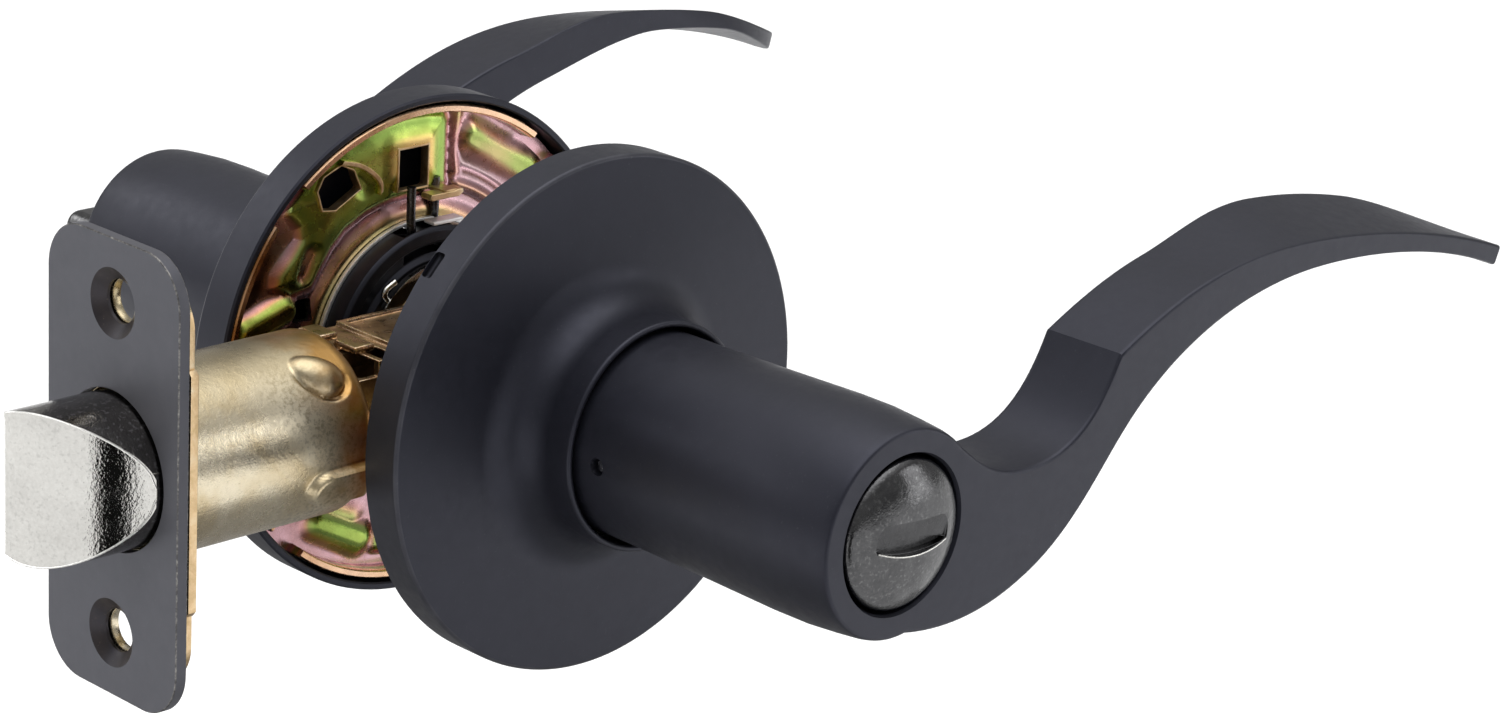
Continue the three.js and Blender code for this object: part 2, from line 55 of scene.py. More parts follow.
class Nodes:
    """A small helper that adds and links shader nodes in one material."""

    def __init__(self, name):
        self.material = bpy.data.materials.new(name)
        self.material.use_nodes = True
        self.tree = self.material.node_tree
        self.shader = self.tree.nodes["Principled BSDF"]
        self.place = self.add("ShaderNodeTexCoord").outputs["Object"]

    def add(self, kind, **settings):
        node = self.tree.nodes.new(kind)
        for key, value in settings.items():
            if hasattr(node, key):
                setattr(node, key, value)
            else:
                node.inputs[key.replace("_", " ")].default_value = value
        return node

    def link(self, source, target):
        self.tree.links.new(source, target)

    def axes(self):
        node = self.add("ShaderNodeSeparateXYZ")
        self.link(self.place, node.inputs["Vector"])
        return node.outputs

    def noise(self, scale, detail=3, rough=0.55, stretch=None, distortion=0):
        node = self.add("ShaderNodeTexNoise", Scale=scale, Detail=detail, Roughness=rough,
                        Distortion=distortion)
        place = self.place
        if stretch:
            mapping = self.add("ShaderNodeMapping")
            mapping.inputs["Scale"].default_value = stretch
            self.link(place, mapping.inputs["Vector"])
            place = mapping.outputs["Vector"]
        self.link(place, node.inputs["Vector"])
        return node.outputs["Fac"]

    def ramp(self, source, stops):
        node = self.add("ShaderNodeValToRGB")
        ramp = node.color_ramp
        while len(ramp.elements) < len(stops):
            ramp.elements.new(0.5)
        for element, (at, color) in zip(ramp.elements, stops):
            element.position = at
            element.color = (*color, 1) if len(color) == 3 else color
        self.link(source, node.inputs["Fac"])
        return node.outputs["Color"]

    def span(self, source, low, high, to_low=0, to_high=1):
        node = self.add("ShaderNodeMapRange")
        for key, value in (("From Min", low), ("From Max", high), ("To Min", to_low), ("To Max", to_high)):
            node.inputs[key].default_value = value
        self.link(source, node.inputs["Value"])
        return node.outputs["Result"]

    def math(self, operation, a, b):
        node = self.add("ShaderNodeMath", operation=operation)
        for socket, value in zip(node.inputs, (a, b)):
            if isinstance(value, (int, float)):
                socket.default_value = value
            else:
                self.link(value, socket)
        return node.outputs["Value"]

    def times(self, a, b):
        return self.math("MULTIPLY", a, b)

    def plus(self, a, b):
        return self.math("ADD", a, b)

    def mix(self, share, a, b, blend="MIX"):
        node = self.add("ShaderNodeMix", data_type="RGBA", blend_type=blend)
        sockets = [s for s in node.inputs if s.enabled]
        for socket, value in zip(sockets, (share, a, b)):
            if isinstance(value, (int, float)):
                socket.default_value = value
            elif isinstance(value, tuple):
                socket.default_value = (*value, 1)
            else:
                self.link(value, socket)
        return [s for s in node.outputs if s.enabled][0]

    def bump(self, *layers):
        """Layers of (height, distance in metres), one after another."""
        normal = None
        for height, distance in layers:
            node = self.add("ShaderNodeBump", Strength=1, Distance=distance)
            self.link(height, node.inputs["Height"])
            if normal:
                self.link(normal, node.inputs["Normal"])
            normal = node.outputs["Normal"]
        self.link(normal, self.shader.inputs["Normal"])

    def finish(self, color, roughness, **constants):
        self.link(color, self.shader.inputs["Base Color"])
        self.link(roughness, self.shader.inputs["Roughness"])
        for key, value in constants.items():
            self.shader.inputs[key.replace("_", " ")].default_value = value
        return self.material


def clouds(dark, light):
    return [(0.3, dark), (0.7, light)]


def powder_black(name, dark, light, edge, roughness=(0.38, 0.46), gloss=0.42):
    n = Nodes(name)
    mottle = n.noise(260, 4)
    grain = n.noise(5200, 2)
    color = n.ramp(mottle, clouds(dark, light))
    speck = n.span(n.noise(2600, 2), 0.66, 0.78)
    color = n.mix(n.times(speck, 0.12), color, edge)
    rough = n.span(n.noise(700, 3), 0.3, 0.7, *roughness)
    n.bump((mottle, 1e-5), (grain, 5e-6))
    return n.finish(color, rough, Metallic=0, IOR=1.5, Specular_IOR_Level=gloss,
                    Specular_Tint=(0.78, 0.8, 1, 1))


def plated(name, stops, blotch, rough, grain_scale=3800, grain_depth=1.2e-5, fleck=None):
    """Plated metal: clouded colour, fine grain, and flecks of (colour, share) where they're given."""
    n = Nodes(name)
    cloud = n.noise(blotch, 4, 0.6, distortion=0.6)
    color = n.ramp(cloud, stops)
    grain = n.noise(grain_scale, 2, 0.7)
    color = n.mix(n.span(grain, 0.35, 0.75, 0, 0.28), color, (1, 1, 1), "SOFT_LIGHT")
    if fleck:
        spots = n.span(n.noise(0.8 * grain_scale, 2, 0.6), 0.56, 0.68)
        color = n.mix(n.times(spots, fleck[1]), color, fleck[0])
    roughness = n.span(n.noise(blotch * 3, 3), 0.3, 0.7, *rough)
    n.bump((n.noise(blotch * 1.5, 2), 4e-5), (grain, grain_depth))
    return n.finish(color, roughness, Metallic=1)


def rainbow_zinc(name):
    """Chromate zinc tinted by how deep the sheet is pressed: gold rims, green pads, pink hollows."""
    n = Nodes(name)
    axes = n.axes()
    from_middle = n.math("ABSOLUTE", axes["Y"], 0)
    cloud = n.noise(75, 1, 0.5, distortion=0.4)
    drift = n.times(n.math("SUBTRACT", cloud, 0.5), 0.0008)
    tint = n.span(n.plus(from_middle, drift), 0.0142, 0.0178)
    color = n.ramp(tint, [
        (0, (0.8, 0.52, 0.36)), (0.16, (0.82, 0.5, 0.26)), (0.25, (0.74, 0.5, 0.18)),
        (0.32, (0.4, 0.46, 0.1)), (0.43, (0.25, 0.38, 0.08)), (0.53, (0.36, 0.42, 0.13)),
        (0.59, (0.62, 0.38, 0.22)), (0.66, (0.62, 0.33, 0.32)), (0.76, (0.54, 0.33, 0.37)),
        (0.86, (0.4, 0.32, 0.3)), (1, (0.3, 0.34, 0.14))])
    shade = n.span(n.noise(60, 2, 0.5, distortion=0.8), 0.42, 0.62)
    left = n.span(n.plus(axes["X"], n.times(drift, 4)), -0.012, -0.024)
    shadow = n.times(n.times(shade, left), 0.92)
    color = n.mix(shadow, color, (0.38, 0.23, 0.1), "MULTIPLY")
    grain = n.noise(3600, 2, 0.7)
    color = n.mix(n.span(grain, 0.3, 0.8, 0, 0.3), color, (1, 1, 1), "SOFT_LIGHT")
    rough = n.span(n.noise(420, 3), 0.3, 0.7, 0.2, 0.34)
    n.bump((n.noise(240, 2), 3e-5), (grain, 6e-6))
    return n.finish(color, rough, Metallic=1)


def tube_zinc(name):
    """Pale gold zinc on the latch tube, grainier inwards, browner at the tube's inner end, and painted darker
    towards the top as painted shade.
    """
    n = Nodes(name)
    axes = n.axes()
    cloud = n.noise(70, 4, 0.6, distortion=0.8)
    color = n.ramp(cloud, [(0.28, (0.4, 0.3, 0.14)), (0.42, (0.6, 0.5, 0.33)),
                           (0.54, (0.7, 0.62, 0.46)), (0.75, (0.76, 0.69, 0.55))])
    drift = n.times(n.math("SUBTRACT", cloud, 0.5), 0.03)
    inward = n.plus(axes["X"], drift)
    speck = n.noise(1500, 4, 0.75)
    coarse = n.span(inward, -0.046, -0.038)
    pits = n.times(n.span(speck, 0.46, 0.62), n.times(coarse, 0.6))
    color = n.mix(pits, color, (0.2, 0.16, 0.1))
    # Painted shade: darker towards the top, standing in for the dark reflection there.
    color = n.mix(n.span(axes["Z"], 0.0055, 0.0105, 0, 0.8), color, (0.4, 0.33, 0.2))
    color = n.mix(n.times(n.span(inward, -0.037, -0.03), 0.9), color, (0.36, 0.19, 0.045))
    lines = n.noise(800, 4, 0.75, stretch=(0.1, 1, 1))
    uneven = n.plus(n.times(speck, 0.5), n.times(coarse, 0.22))
    rough = n.span(uneven, 0.15, 0.6, 0.2, 0.42)
    n.bump((n.noise(160, 2), 6e-5), (lines, 2.0e-5), (speck, 3.5e-5))
    return n.finish(color, rough, Metallic=1)


MATTE_BLACK = powder_black("matte_black_powder", (0.0075, 0.0078, 0.0115), (0.0095, 0.0098, 0.0145),
                           (0.12, 0.12, 0.13))
PLATE_BLACK = powder_black("faceplate_black", (0.066, 0.066, 0.073), (0.073, 0.073, 0.081), (0.2, 0.19, 0.18))
BLACK_STEEL = powder_black("black_oxide_steel", (0.004, 0.004, 0.005), (0.008, 0.008, 0.01),
                           (0.1, 0.1, 0.11), (0.3, 0.4), 0.28)
# Countersink brown: partly the cones' own rust and bare zinc, partly painted shade that keeps them darker
# than the plate.
SINK_BROWN_AND_SHADE = powder_black("countersink_brown_painted_shade", (0.014, 0.011, 0.009), (0.035, 0.026, 0.02),
                          (0.4, 0.3, 0.18), (0.3, 0.45))
# Faceplate edges: worn metal that also stands in as a painted highlight along them.
WORN_EDGE_AND_HIGHLIGHT = plated("worn_edge_and_painted_highlight", [(0.42, (0.08, 0.078, 0.08)), (0.58, (0.17, 0.165, 0.16)),
                                        (0.75, (0.34, 0.33, 0.31))], 1500, (0.35, 0.5))
SILVER_EDGE = plated("bare_steel_edge", clouds((0.88, 0.89, 0.9), (0.96, 0.97, 0.98)), 900, (0.42, 0.58))
RAINBOW = rainbow_zinc("rainbow_chromate_zinc")
CHAMPAGNE = tube_zinc("champagne_zinc")
GOLD_EDGE = plated("gold_cut_edge", [(0.3, (0.5, 0.34, 0.17)), (0.55, (0.72, 0.52, 0.3)),
                                     (0.75, (0.78, 0.66, 0.46))], 400, (0.3, 0.45), 3000, 2.0e-5)
# Lighter bronze for the latch case's bevels, so its edges read brighter.
BRONZE_EDGE = plated("lighter_bronze_edge", [(0.3, (0.5, 0.34, 0.2)), (0.6, (0.8, 0.6, 0.42))], 500,
                     (0.22, 0.34))
BRONZE = plated("bronze_zinc", [(0.3, (0.16, 0.1, 0.055)), (0.5, (0.36, 0.25, 0.14)),
                                (0.62, (0.5, 0.38, 0.24)), (0.78, (0.42, 0.28, 0.2))],
                160, (0.24, 0.4), 3200, 1.6e-5)
NICKEL = plated("grained_nickel", clouds((0.5, 0.49, 0.465), (0.59, 0.58, 0.55)), 160, (0.05, 0.1),
                2400, 3.0e-5, ((0.3, 0.295, 0.28), 0.3))
# Dark nickel for the latch bolt's sides: partly a darker finish, partly a painted dark reflection.
DARK_NICKEL_AND_REFLECTION = plated("dark_nickel_and_painted_reflection", clouds((0.16, 0.15, 0.14), (0.24, 0.23, 0.215)), 240, (0.13, 0.2),
                     2300, 5.0e-5, ((0.75, 0.74, 0.72), 0.4))
# Bright nickel for the wires along the bolt's ramp edges: painted highlight lines.
NICKEL_EDGE_HIGHLIGHT = plated("nickel_edge_painted_highlight", clouds((0.78, 0.77, 0.74), (0.9, 0.89, 0.86)), 500, (0.22, 0.34))
# Lighter powder on the rose rim's front corner: a painted highlight.
RIM_HIGHLIGHT_BLACK = powder_black("powder_rim_painted_highlight", (0.022, 0.022, 0.026), (0.04, 0.04, 0.045), (0.3, 0.3, 0.3))
PEWTER = plated("dark_pewter", clouds((0.058, 0.058, 0.06), (0.098, 0.098, 0.1)), 300, (0.13, 0.2),
                2600, 2.8e-5, ((0.24, 0.24, 0.24), 0.35))
# Darker pewter for the button's slot and pocket: painted shade in the recess.
PEWTER_RECESS_SHADE = plated("pewter_recess_painted_shade", clouds((0.044, 0.044, 0.046), (0.066, 0.066, 0.068)), 300,
                       (0.22, 0.3))
SPRING_WIRE = plated("spring_wire", clouds((0.035, 0.035, 0.038), (0.11, 0.11, 0.115)), 500, (0.22, 0.34))
# Bright wire: the bolt spring's own colour, and a painted highlight on the button's slot lip.
BRIGHT_WIRE_AND_LIP_HIGHLIGHT = plated("bright_wire_and_painted_highlight", clouds((0.4, 0.39, 0.37), (0.62, 0.61, 0.58)), 500, (0.22, 0.34))

# ---------------- mesh tools


def cleaned(mesh, merge, flat_angle=None):
    """Welds a mesh's doubles, joins its flat faces if an angle is given, and turns its faces outwards."""
    work = bmesh.new()
    work.from_mesh(mesh)
    bmesh.ops.remove_doubles(work, verts=work.verts, dist=merge)
    if flat_angle:
        bmesh.ops.dissolve_limit(work, angle_limit=math.radians(flat_angle), verts=work.verts,
                                 edges=work.edges)
    bmesh.ops.recalc_face_normals(work, faces=work.faces)
    work.to_mesh(mesh)
    work.free()
    return mesh


def linked(name, data):
    """A new object in the scene."""
    piece = bpy.data.objects.new(name, data)
    bpy.context.scene.collection.objects.link(piece)
    return piece


def draft(mesh):
    return linked("draft", mesh)


def solid(verts, faces):
    mesh = bpy.data.meshes.new("draft")
    mesh.from_pydata([tuple(map(float, v)) for v in verts], [], faces)
    return draft(cleaned(mesh, 1e-4))


def evaluated(piece):
    """The piece's mesh with its modifiers applied, in place of the old one."""
    bpy.context.view_layer.update()
    seen = piece.evaluated_get(bpy.context.evaluated_depsgraph_get())
    mesh = bpy.data.meshes.new_from_object(seen)
    piece.modifiers.clear()
    piece.data = mesh
    return piece


def combine(piece, tools, operation="DIFFERENCE"):
    for tool in tools:
        step = piece.modifiers.new("step", "BOOLEAN")
        step.solver = "EXACT"
        step.operation = operation
        step.object = tool
    evaluated(piece)
    for tool in tools:
        bpy.data.objects.remove(tool)
    return piece


def bevelled(piece, width, angle=35, segments=2, slot=-1):
    step = piece.modifiers.new("bevel", "BEVEL")
    step.width = width
    step.segments = segments
    step.limit_method = "ANGLE"
    step.angle_limit = math.radians(angle)
    step.use_clamp_overlap = True
    step.miter_outer = "MITER_ARC"
    while len(piece.data.materials) <= slot:
        piece.data.materials.append(None)
    step.material = slot
    return evaluated(piece)


def joined(*pieces):
    """Several drafts as one piece, without a boolean."""
    work = bmesh.new()
    for piece in pieces:
        work.from_mesh(piece.data)
        bpy.data.objects.remove(piece)
    mesh = bpy.data.meshes.new("draft")
    work.to_mesh(mesh)
    work.free()
    return draft(mesh)


def softened(profile, radius, steps=2, closed=True):
    """A profile with each corner rounded off. The ends of an open one stay."""
    points = [Vector(p) for p in profile]
    count = len(points)
    out = []
    for i, point in enumerate(points):
        if not closed and i in (0, count - 1):
            out.append(tuple(point))
            continue
        before, after = points[i - 1], points[(i + 1) % count]
        a, b = before - point, after - point
        reach = min(radius, 0.45 * a.length, 0.45 * b.length)
        if reach < 1e-3 or abs(a.angle(b, math.pi) - math.pi) < 0.2:
            out.append(tuple(point))
            continue
        start, end = point + a.normalized() * reach, point + b.normalized() * reach
        for k in range(steps + 1):
            t = k / steps
            out.append(tuple(start * (1 - t) ** 2 + point * 2 * t * (1 - t) + end * t * t))
    return out


def revolved(profile, segments=96, axis="y", shift=(0, 0, 0)):
    """A solid of (radius, place along the axis) points turned once. Along y the place is u, out along -Y."""
    profile = np.array(profile, float)
    closed = profile[0, 0] != 0
    angle = 2 * np.pi * np.arange(segments) / segments
    r, along = profile[:, 0][:, None], profile[:, 1][:, None]
    c, s = r * np.cos(angle), r * np.sin(angle)
    along = np.broadcast_to(along, c.shape)
    grid = np.stack([c, -along, s], -1) if axis == "y" else np.stack([along, c, s], -1)
    return grid_solid(grid + np.array(shift, float), wrap_rows=closed, wrap_columns=True)


def grid_solid(grid, wrap_rows=False, wrap_columns=False):
    rows, columns = grid.shape[:2]
    i = np.arange(rows if wrap_rows else rows - 1)
    j = np.arange(columns if wrap_columns else columns - 1)
    I, J = np.meshgrid(i, j, indexing="ij")
    at = lambda a, b: (a % rows) * columns + b % columns
    quads = np.stack([at(I, J), at(I + 1, J), at(I + 1, J + 1), at(I, J + 1)], -1).reshape(-1, 4)
    return solid(grid.reshape(-1, 3), quads.tolist())


def rectangle(left, right, low, high):
    """Four corners. Turned as a profile, they make a plain ring, or a disc if left is 0."""
    return [(left, low), (right, low), (right, high), (left, high)]


def turned(profile, radius=0.2, segments=96, steps=2, **more):
    """A solid of revolution with softened corners. A profile that starts on the axis ends on it too."""
    return revolved(softened(profile, radius, steps, closed=profile[0][0] != 0), segments, **more)


def block(x, y, z):
    verts = [(a, b, c) for a in x for b in y for c in z]
    faces = [(0, 1, 3, 2), (4, 6, 7, 5), (0, 4, 5, 1), (2, 3, 7, 6), (0, 2, 6, 4), (1, 5, 7, 3)]
    return solid(verts, faces)


def turn_y(piece, degrees):
    """Turned about the spindle; 90 degrees takes +X to +Z."""
    piece.data.transform(Matrix.Rotation(math.radians(-degrees), 4, "Y"))
    return piece


def mirrored(piece):
    piece.data.transform(Matrix.Scale(-1, 4, (0, 1, 0)))
    piece.data.flip_normals()
    return piece


def ellipse(cx, cy, rx, ry, start, end, steps):
    return [(cx + rx * math.cos(a), cy + ry * math.sin(a))
            for a in np.radians(np.linspace(start, end, steps + 1))]


def arc(cx, cy, radius, start, end, steps=12):
    return ellipse(cx, cy, radius, radius, start, end, steps)


def rounded_rectangle(width, height, corner, steps=12):
    a, b = width / 2 - corner, height / 2 - corner
    return [p for k, (x, y) in enumerate(rectangle(a, -a, b, -b))
            for p in arc(x, y, corner, 90 * k, 90 * k + 90, steps)]


def sheet(outlines, low, high, bevel, plane="xz", resolution=2):
    """A flat sheet with holes and softened edges, from low to high: in u for plane xz, in x for plane yz."""
    curve = bpy.data.curves.new("draft", "CURVE")
    curve.dimensions = "2D"
    curve.fill_mode = "BOTH"
    curve.extrude = (high - low) / 2 - bevel
    curve.bevel_depth = bevel
    curve.bevel_resolution = resolution
    curve.offset = -bevel
    for outline in outlines:
        spline = curve.splines.new("POLY")
        clean = [p for i, p in enumerate(outline) if math.dist(p, outline[i - 1]) > 1e-3]
        spline.points.add(len(clean) - 1)
        for point, (a, b) in zip(spline.points, clean):
            point.co = (a, b, 0, 1)
        spline.use_cyclic_u = True
    shape = linked("draft", curve)
    bpy.context.view_layer.update()
    mesh = bpy.data.meshes.new_from_object(shape.evaluated_get(bpy.context.evaluated_depsgraph_get()))
    bpy.data.objects.remove(shape)
    cleaned(mesh, 1e-3, 0.5)
    middle = (low + high) / 2
    if plane == "xz":
        mesh.transform(Matrix(((1, 0, 0, 0), (0, 0, -1, -middle), (0, 1, 0, 0), (0, 0, 0, 1))))
    else:
        mesh.transform(Matrix(((0, 0, 1, middle), (1, 0, 0, 0), (0, 1, 0, 0), (0, 0, 0, 1))))
    return draft(mesh)


def swept(points, radius, sides=12):
    """A round wire along a line of points, with closed ends."""
    points = np.array(points, float)
    ahead = np.gradient(points, axis=0)
    ahead /= np.linalg.norm(ahead, axis=1, keepdims=True)
    side = np.cross(ahead[0], (0.3, 0.9, 0.2))
    rows = []
    for point, direction in zip(points, ahead):
        side = side - direction * (side @ direction)
        side /= np.linalg.norm(side)
        up = np.cross(direction, side)
        a = 2 * np.pi * np.arange(sides)[:, None] / sides
        rows.append(point + radius * (np.cos(a) * side + np.sin(a) * up))
    ends = [np.repeat(points[k][None], sides, 0) for k in (0, -1)]
    return grid_solid(np.array([ends[0], *rows, ends[1]]), wrap_columns=True)


def smooth_line(points, steps):
    """Points along a smooth line through the given ones."""
    points = [np.array(p, float) for p in points]
    padded = [2 * points[0] - points[1], *points, 2 * points[-1] - points[-2]]
    out = []
    for a, b, c, d in zip(padded, padded[1:], padded[2:], padded[3:]):
        for t in np.linspace(0, 1, steps, endpoint=False):
            bend, twist = 2 * a - 5 * b + 4 * c - d, 3 * b - a - 3 * c + d
            out.append(0.5 * (2 * b + (c - a) * t + bend * t ** 2 + twist * t ** 3))
    return out + [points[-1]]


def place(piece, node, body, slot, *materials, angle=32, pick=None):
    """Makes a draft the finished piece of one CAD node, in metres, riding on the node's body."""
    mesh, name = piece.data, f"{node}_detail"
    mesh.transform(Matrix.Scale(MM, 4))
    mesh.validate()
    piece.name = mesh.name = name
    while len(mesh.materials) < len(materials):
        mesh.materials.append(None)
    for i, material in enumerate(materials):
        mesh.materials[i] = material
    for polygon in mesh.polygons:
        polygon.use_smooth = True
        if pick:
            polygon.material_index = pick(polygon.center / MM, polygon.normal)
        elif polygon.material_index >= len(materials):
            polygon.material_index = 0
    mesh.set_sharp_from_angle(angle=math.radians(angle))
    step = piece.modifiers.new("normals", "WEIGHTED_NORMAL")
    step.keep_sharp = True
    step.weight = 80
    evaluated(piece)
    piece.data.name = name
    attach(piece, body)
    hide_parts(node)
    return piece


def place_trim(make, name, body, slot, *materials, **more):
    """The same piece on both trims, with the inside one mirrored. The body may name the trim's side."""
    for side in ("outside", "inside"):
        piece = make(side)
        if side == "inside":
            mirrored(piece)
        place(piece, f"{side}_{name}", body.format(side=side), slot, *materials, **more)


# ---------------- lever

LEVER_FACE, ARM_DEPTH, ARM_REACH = 71.2, 12.2, 118
HUB_END_RADIUS, HUB_BORE = 12.9, 9.85
TIP_WIDTH, NARROW_FROM = 1.4, 84
TWIST_RISE, TWIST_FROM, TWIST_TO, UNTWIST_FROM = 2.7, 58, 80, 97
TIP_TOP, TIP_LOW = (ARM_REACH, 14.6), (ARM_REACH - 1, 12)
ROOT_TOP_ANGLE, ROOT_LOW_ANGLE = math.radians(49), math.radians(-83)
CATCH = (0, -33.3, 0)


def bezier(a, b, c, d, steps):
    t = np.linspace(0, 1, steps, endpoint=False)[:, None]
    a, b, c, d = (np.array(p, float) for p in (a, b, c, d))
    return a * (1 - t) ** 3 + 3 * b * t * (1 - t) ** 2 + 3 * c * t ** 2 * (1 - t) + d * t ** 3


def smoothstep(x, low, high):
    t = np.clip((x - low) / (high - low), 0, 1)
    return t * t * (3 - 2 * t)


def arm_edges():
    """The wave's upper and lower edges, from inside the hub out to the tip."""
    top_root, low_root = [(HUB_END_RADIUS * math.cos(a), HUB_END_RADIUS * math.sin(a))
                          for a in (ROOT_TOP_ANGLE, ROOT_LOW_ANGLE)]
    counts = (16, 16, 26, 34)
    top = [(top_root, (13, 6), (16, 3.4), (22.5, 3.5)),
           ((22.5, 3.5), (30, 3.6), (34.5, 7.5), (37.8, 14.8)),
           ((37.8, 14.8), (46, 19), (55, 22.6), (68, 22.8)),
           ((68, 22.8), (84, 23), (104, 19.4), TIP_TOP)]
    low = [(low_root, (8, -14.2), (15, -13.9), (21.5, -11.2)),
           ((21.5, -11.2), (31, -7.5), (35, -0.4), (40.5, 5.2)),
           ((40.5, 5.2), (49, 13.8), (62, 18.9), (77.5, 18.9)),
           ((77.5, 18.9), (92, 18.9), (106, 16.2), TIP_LOW)]
    inner_top, inner_low = [(2.5, 6)], [(0.4, -7)]
    upper = np.vstack([inner_top] + [bezier(*part, count) for part, count in zip(top, counts)] + [TIP_TOP])
    lower = np.vstack([inner_low] + [bezier(*part, count) for part, count in zip(low, counts)] + [TIP_LOW])
    return upper, lower


def lever_arm():
    upper, lower = arm_edges()
    edge = 0.55
    rows = []
    for t, b in zip(upper, lower):
        height = float(np.linalg.norm(t - b))
        x = (t[0] + b[0]) / 2
        along = np.clip((x - NARROW_FROM) / (ARM_REACH - NARROW_FROM), 0, 1)
        depth = TIP_WIDTH + (ARM_DEPTH - TIP_WIDTH) * math.sqrt(1 - min(along, 1) ** 2)
        r = min(edge, 0.42 * height, 0.42 * depth)
        section = softened(rectangle(0, height, 0, depth), r, 4)
        rise = TWIST_RISE * smoothstep(x, TWIST_FROM, TWIST_TO)
        rise *= 1 - smoothstep(x, UNTWIST_FROM, ARM_REACH + 4)
        across = (b - t) / height
        row = []
        for h, back in section:
            px, pz = t + across * h
            row.append((px, -LEVER_FACE + back, pz + rise * back / ARM_DEPTH))
        rows.append(row)
    first, last = (np.repeat(np.mean(rows[k], 0)[None], len(rows[0]), 0) for k in (0, -1))
    return grid_solid(np.array([first, *rows, last]), wrap_columns=True)


def lever(side):
    hub = turned([(0, 24.5), (13.35, 24.5), (13.35, 34), (13.55, 46), (13.8, 58), (13.75, 63), (13.45, 67),
                  (13.15, 70), (12.9, LEVER_FACE), (0, LEVER_FACE)], 0.45, 144, steps=4)
    whole = combine(hub, [lever_arm()], "UNION")
    bore = revolved([(0, 20), (HUB_BORE, 20), (HUB_BORE, 70.75), (HUB_BORE + 0.3, 71.3), (HUB_BORE + 0.3, 80),
                     (0, 80)], 144)
    pin_hole = revolved(rectangle(0, 1.1, -16, -9), 32, "x", CATCH)
    pin_sink = revolved([(0, -16), (1.45, -16), (1.1, -13.15), (0, -13.1)], 32, "x", CATCH)
    return combine(whole, [bore, pin_hole, pin_sink])


LEVER_BODY = "{side}_lever_assembly"
place_trim(lever, "lever", LEVER_BODY, "matte_black", MATTE_BLACK, angle=28)

# ---------------- rose

ROSE_RADIUS, ROSE_REAR, ROSE_FACE, NECK_RADIUS, NECK_END = 33.5, 14, 19.8, 14.8, 29.9
NOTCH_ANGLE = 137


def rose(side):
    """A drawn cup with a flared neck, and a pry notch on the outside one."""
    flare_r, flare_u, crown = 20.5, 26, 0.4
    outer = [(ROSE_RADIUS - 0.25, ROSE_REAR), (ROSE_RADIUS, ROSE_REAR + 0.25)]
    outer += arc(ROSE_RADIUS - 0.55, ROSE_FACE - 0.55, 0.55, 0, 90, 8)
    across, deep = flare_r - NECK_RADIUS, flare_u - ROSE_FACE
    outer += ellipse(flare_r, flare_u, across, deep - crown, -90, -180, 28)
    outer += [(NECK_RADIUS, NECK_END - 0.55)] + arc(NECK_RADIUS - 0.4, NECK_END - 0.4, 0.4, 0, 180, 8)
    inner = ellipse(flare_r, flare_u, across + 0.8, deep + 0.6, -180, -90, 20)
    inner += [(32.1, 18.8), (32.5, 18.4), (32.5, ROSE_REAR + 0.2), (32.7, ROSE_REAR)]
    shell = revolved(outer + inner, 192)
    if side == "outside":
        notch = block((32.6, 36), (-ROSE_REAR - 2, -ROSE_REAR - 0.3), (-1.8, 1.8))
        combine(shell, [turn_y(bevelled(notch, 0.45, segments=3), NOTCH_ANGLE)])
    return shell


def rose_material(center, normal):
    """The pry notch is painted darker inside as painted shade, and the rim's front corner is painted lighter
    as a painted highlight.
    """
    r = math.hypot(center.x, center.z)
    if 33 < r < 33.47 and abs(center.y) > ROSE_FACE - 0.45:
        return 2
    # The pry notch's inside takes the darker black steel as painted shade.
    near = abs(math.degrees(math.atan2(center.z, center.x)) - NOTCH_ANGLE) < 3.4
    return 1 if near and 32.55 < r < 33.35 and 14.25 < -center.y < 16.05 else 0


place_trim(rose, "rose", "lock_chassis", "matte_black", MATTE_BLACK, BLACK_STEEL, RIM_HIGHLIGHT_BLACK, angle=40,
           pick=rose_material)

# ---------------- mounting plate

PLATE_HOLE, PLATE_RADIUS, SHEET_FRONT, PLATE_BACK, PLATE_RIM = 16.9, 32, 16.9, 18.1, 14.4
POST_X = 23
SLOT_LEFT, SLOT_RIGHT, SLOT_LOW, SLOT_HIGH = -4.6, 0.7, 21.1, 27
# Outlines in x and z: the raised lobe, and the keyhole punched in it.
LOBE = [(-21.4, 23.1), (-18, 26.1), (-13.5, 28.8), (-8.5, 30.3), (-3.5, 30.9), (1, 30.9), (3.9, 30.4),
        (4.6, 29.3), (4.6, 20.7), (-0.5, 20.4), (-4.5, 20.1), (-8.5, 19), (-12, 17.3), (-14.3, 15.1),
        (-15.9, 12.7), (-17.3, 10.5), (-20.8, 9.9), (-23, 11.3), (-22.9, 12.9), (-20.8, 15), (-19.2, 16.9),
        (-19.5, 18.7), (-21.4, 20.7)]
KEYHOLE = [(-17.8, 23.4), (-16.8, 25.2), (-13.8, 26.4), (-11.7, 25.4), (-10.4, 22.6), (-14.7, 20.3),
           (-16.9, 20.6)]

# Pressed ridges: a height, then a line's two ends, half width and softness, or an arch's angles, radii
# and softness.
RIDGE_LINES = [(1.25, 9, 26, 19, 20.2, 2, 1.5), (1.25, -15.5, -22, -8.4, -25.8, 1.8, 1.4),
               (0.6, 6.6, 29.8, 6.5, 22, 0.8, 0.9)]
RIDGE_ARCHES = [(0.7, 18, 73, 20.8, 21.8, 0.7), (0.4, 30, 73, 23.2, 23.7, 0.6),
                (0.8, 192, 250, 23, 26, 1.6), (0.35, 150, 190, 23, 25, 1.4)]


def from_line(x, z, ax, az, bx, bz):
    """How far each point lies from the line between two others."""
    dx, dz = bx - ax, bz - az
    t = np.clip(((x - ax) * dx + (z - az) * dz) / (dx * dx + dz * dz), 0, 1)
    return np.hypot(x - ax - t * dx, z - az - t * dz)


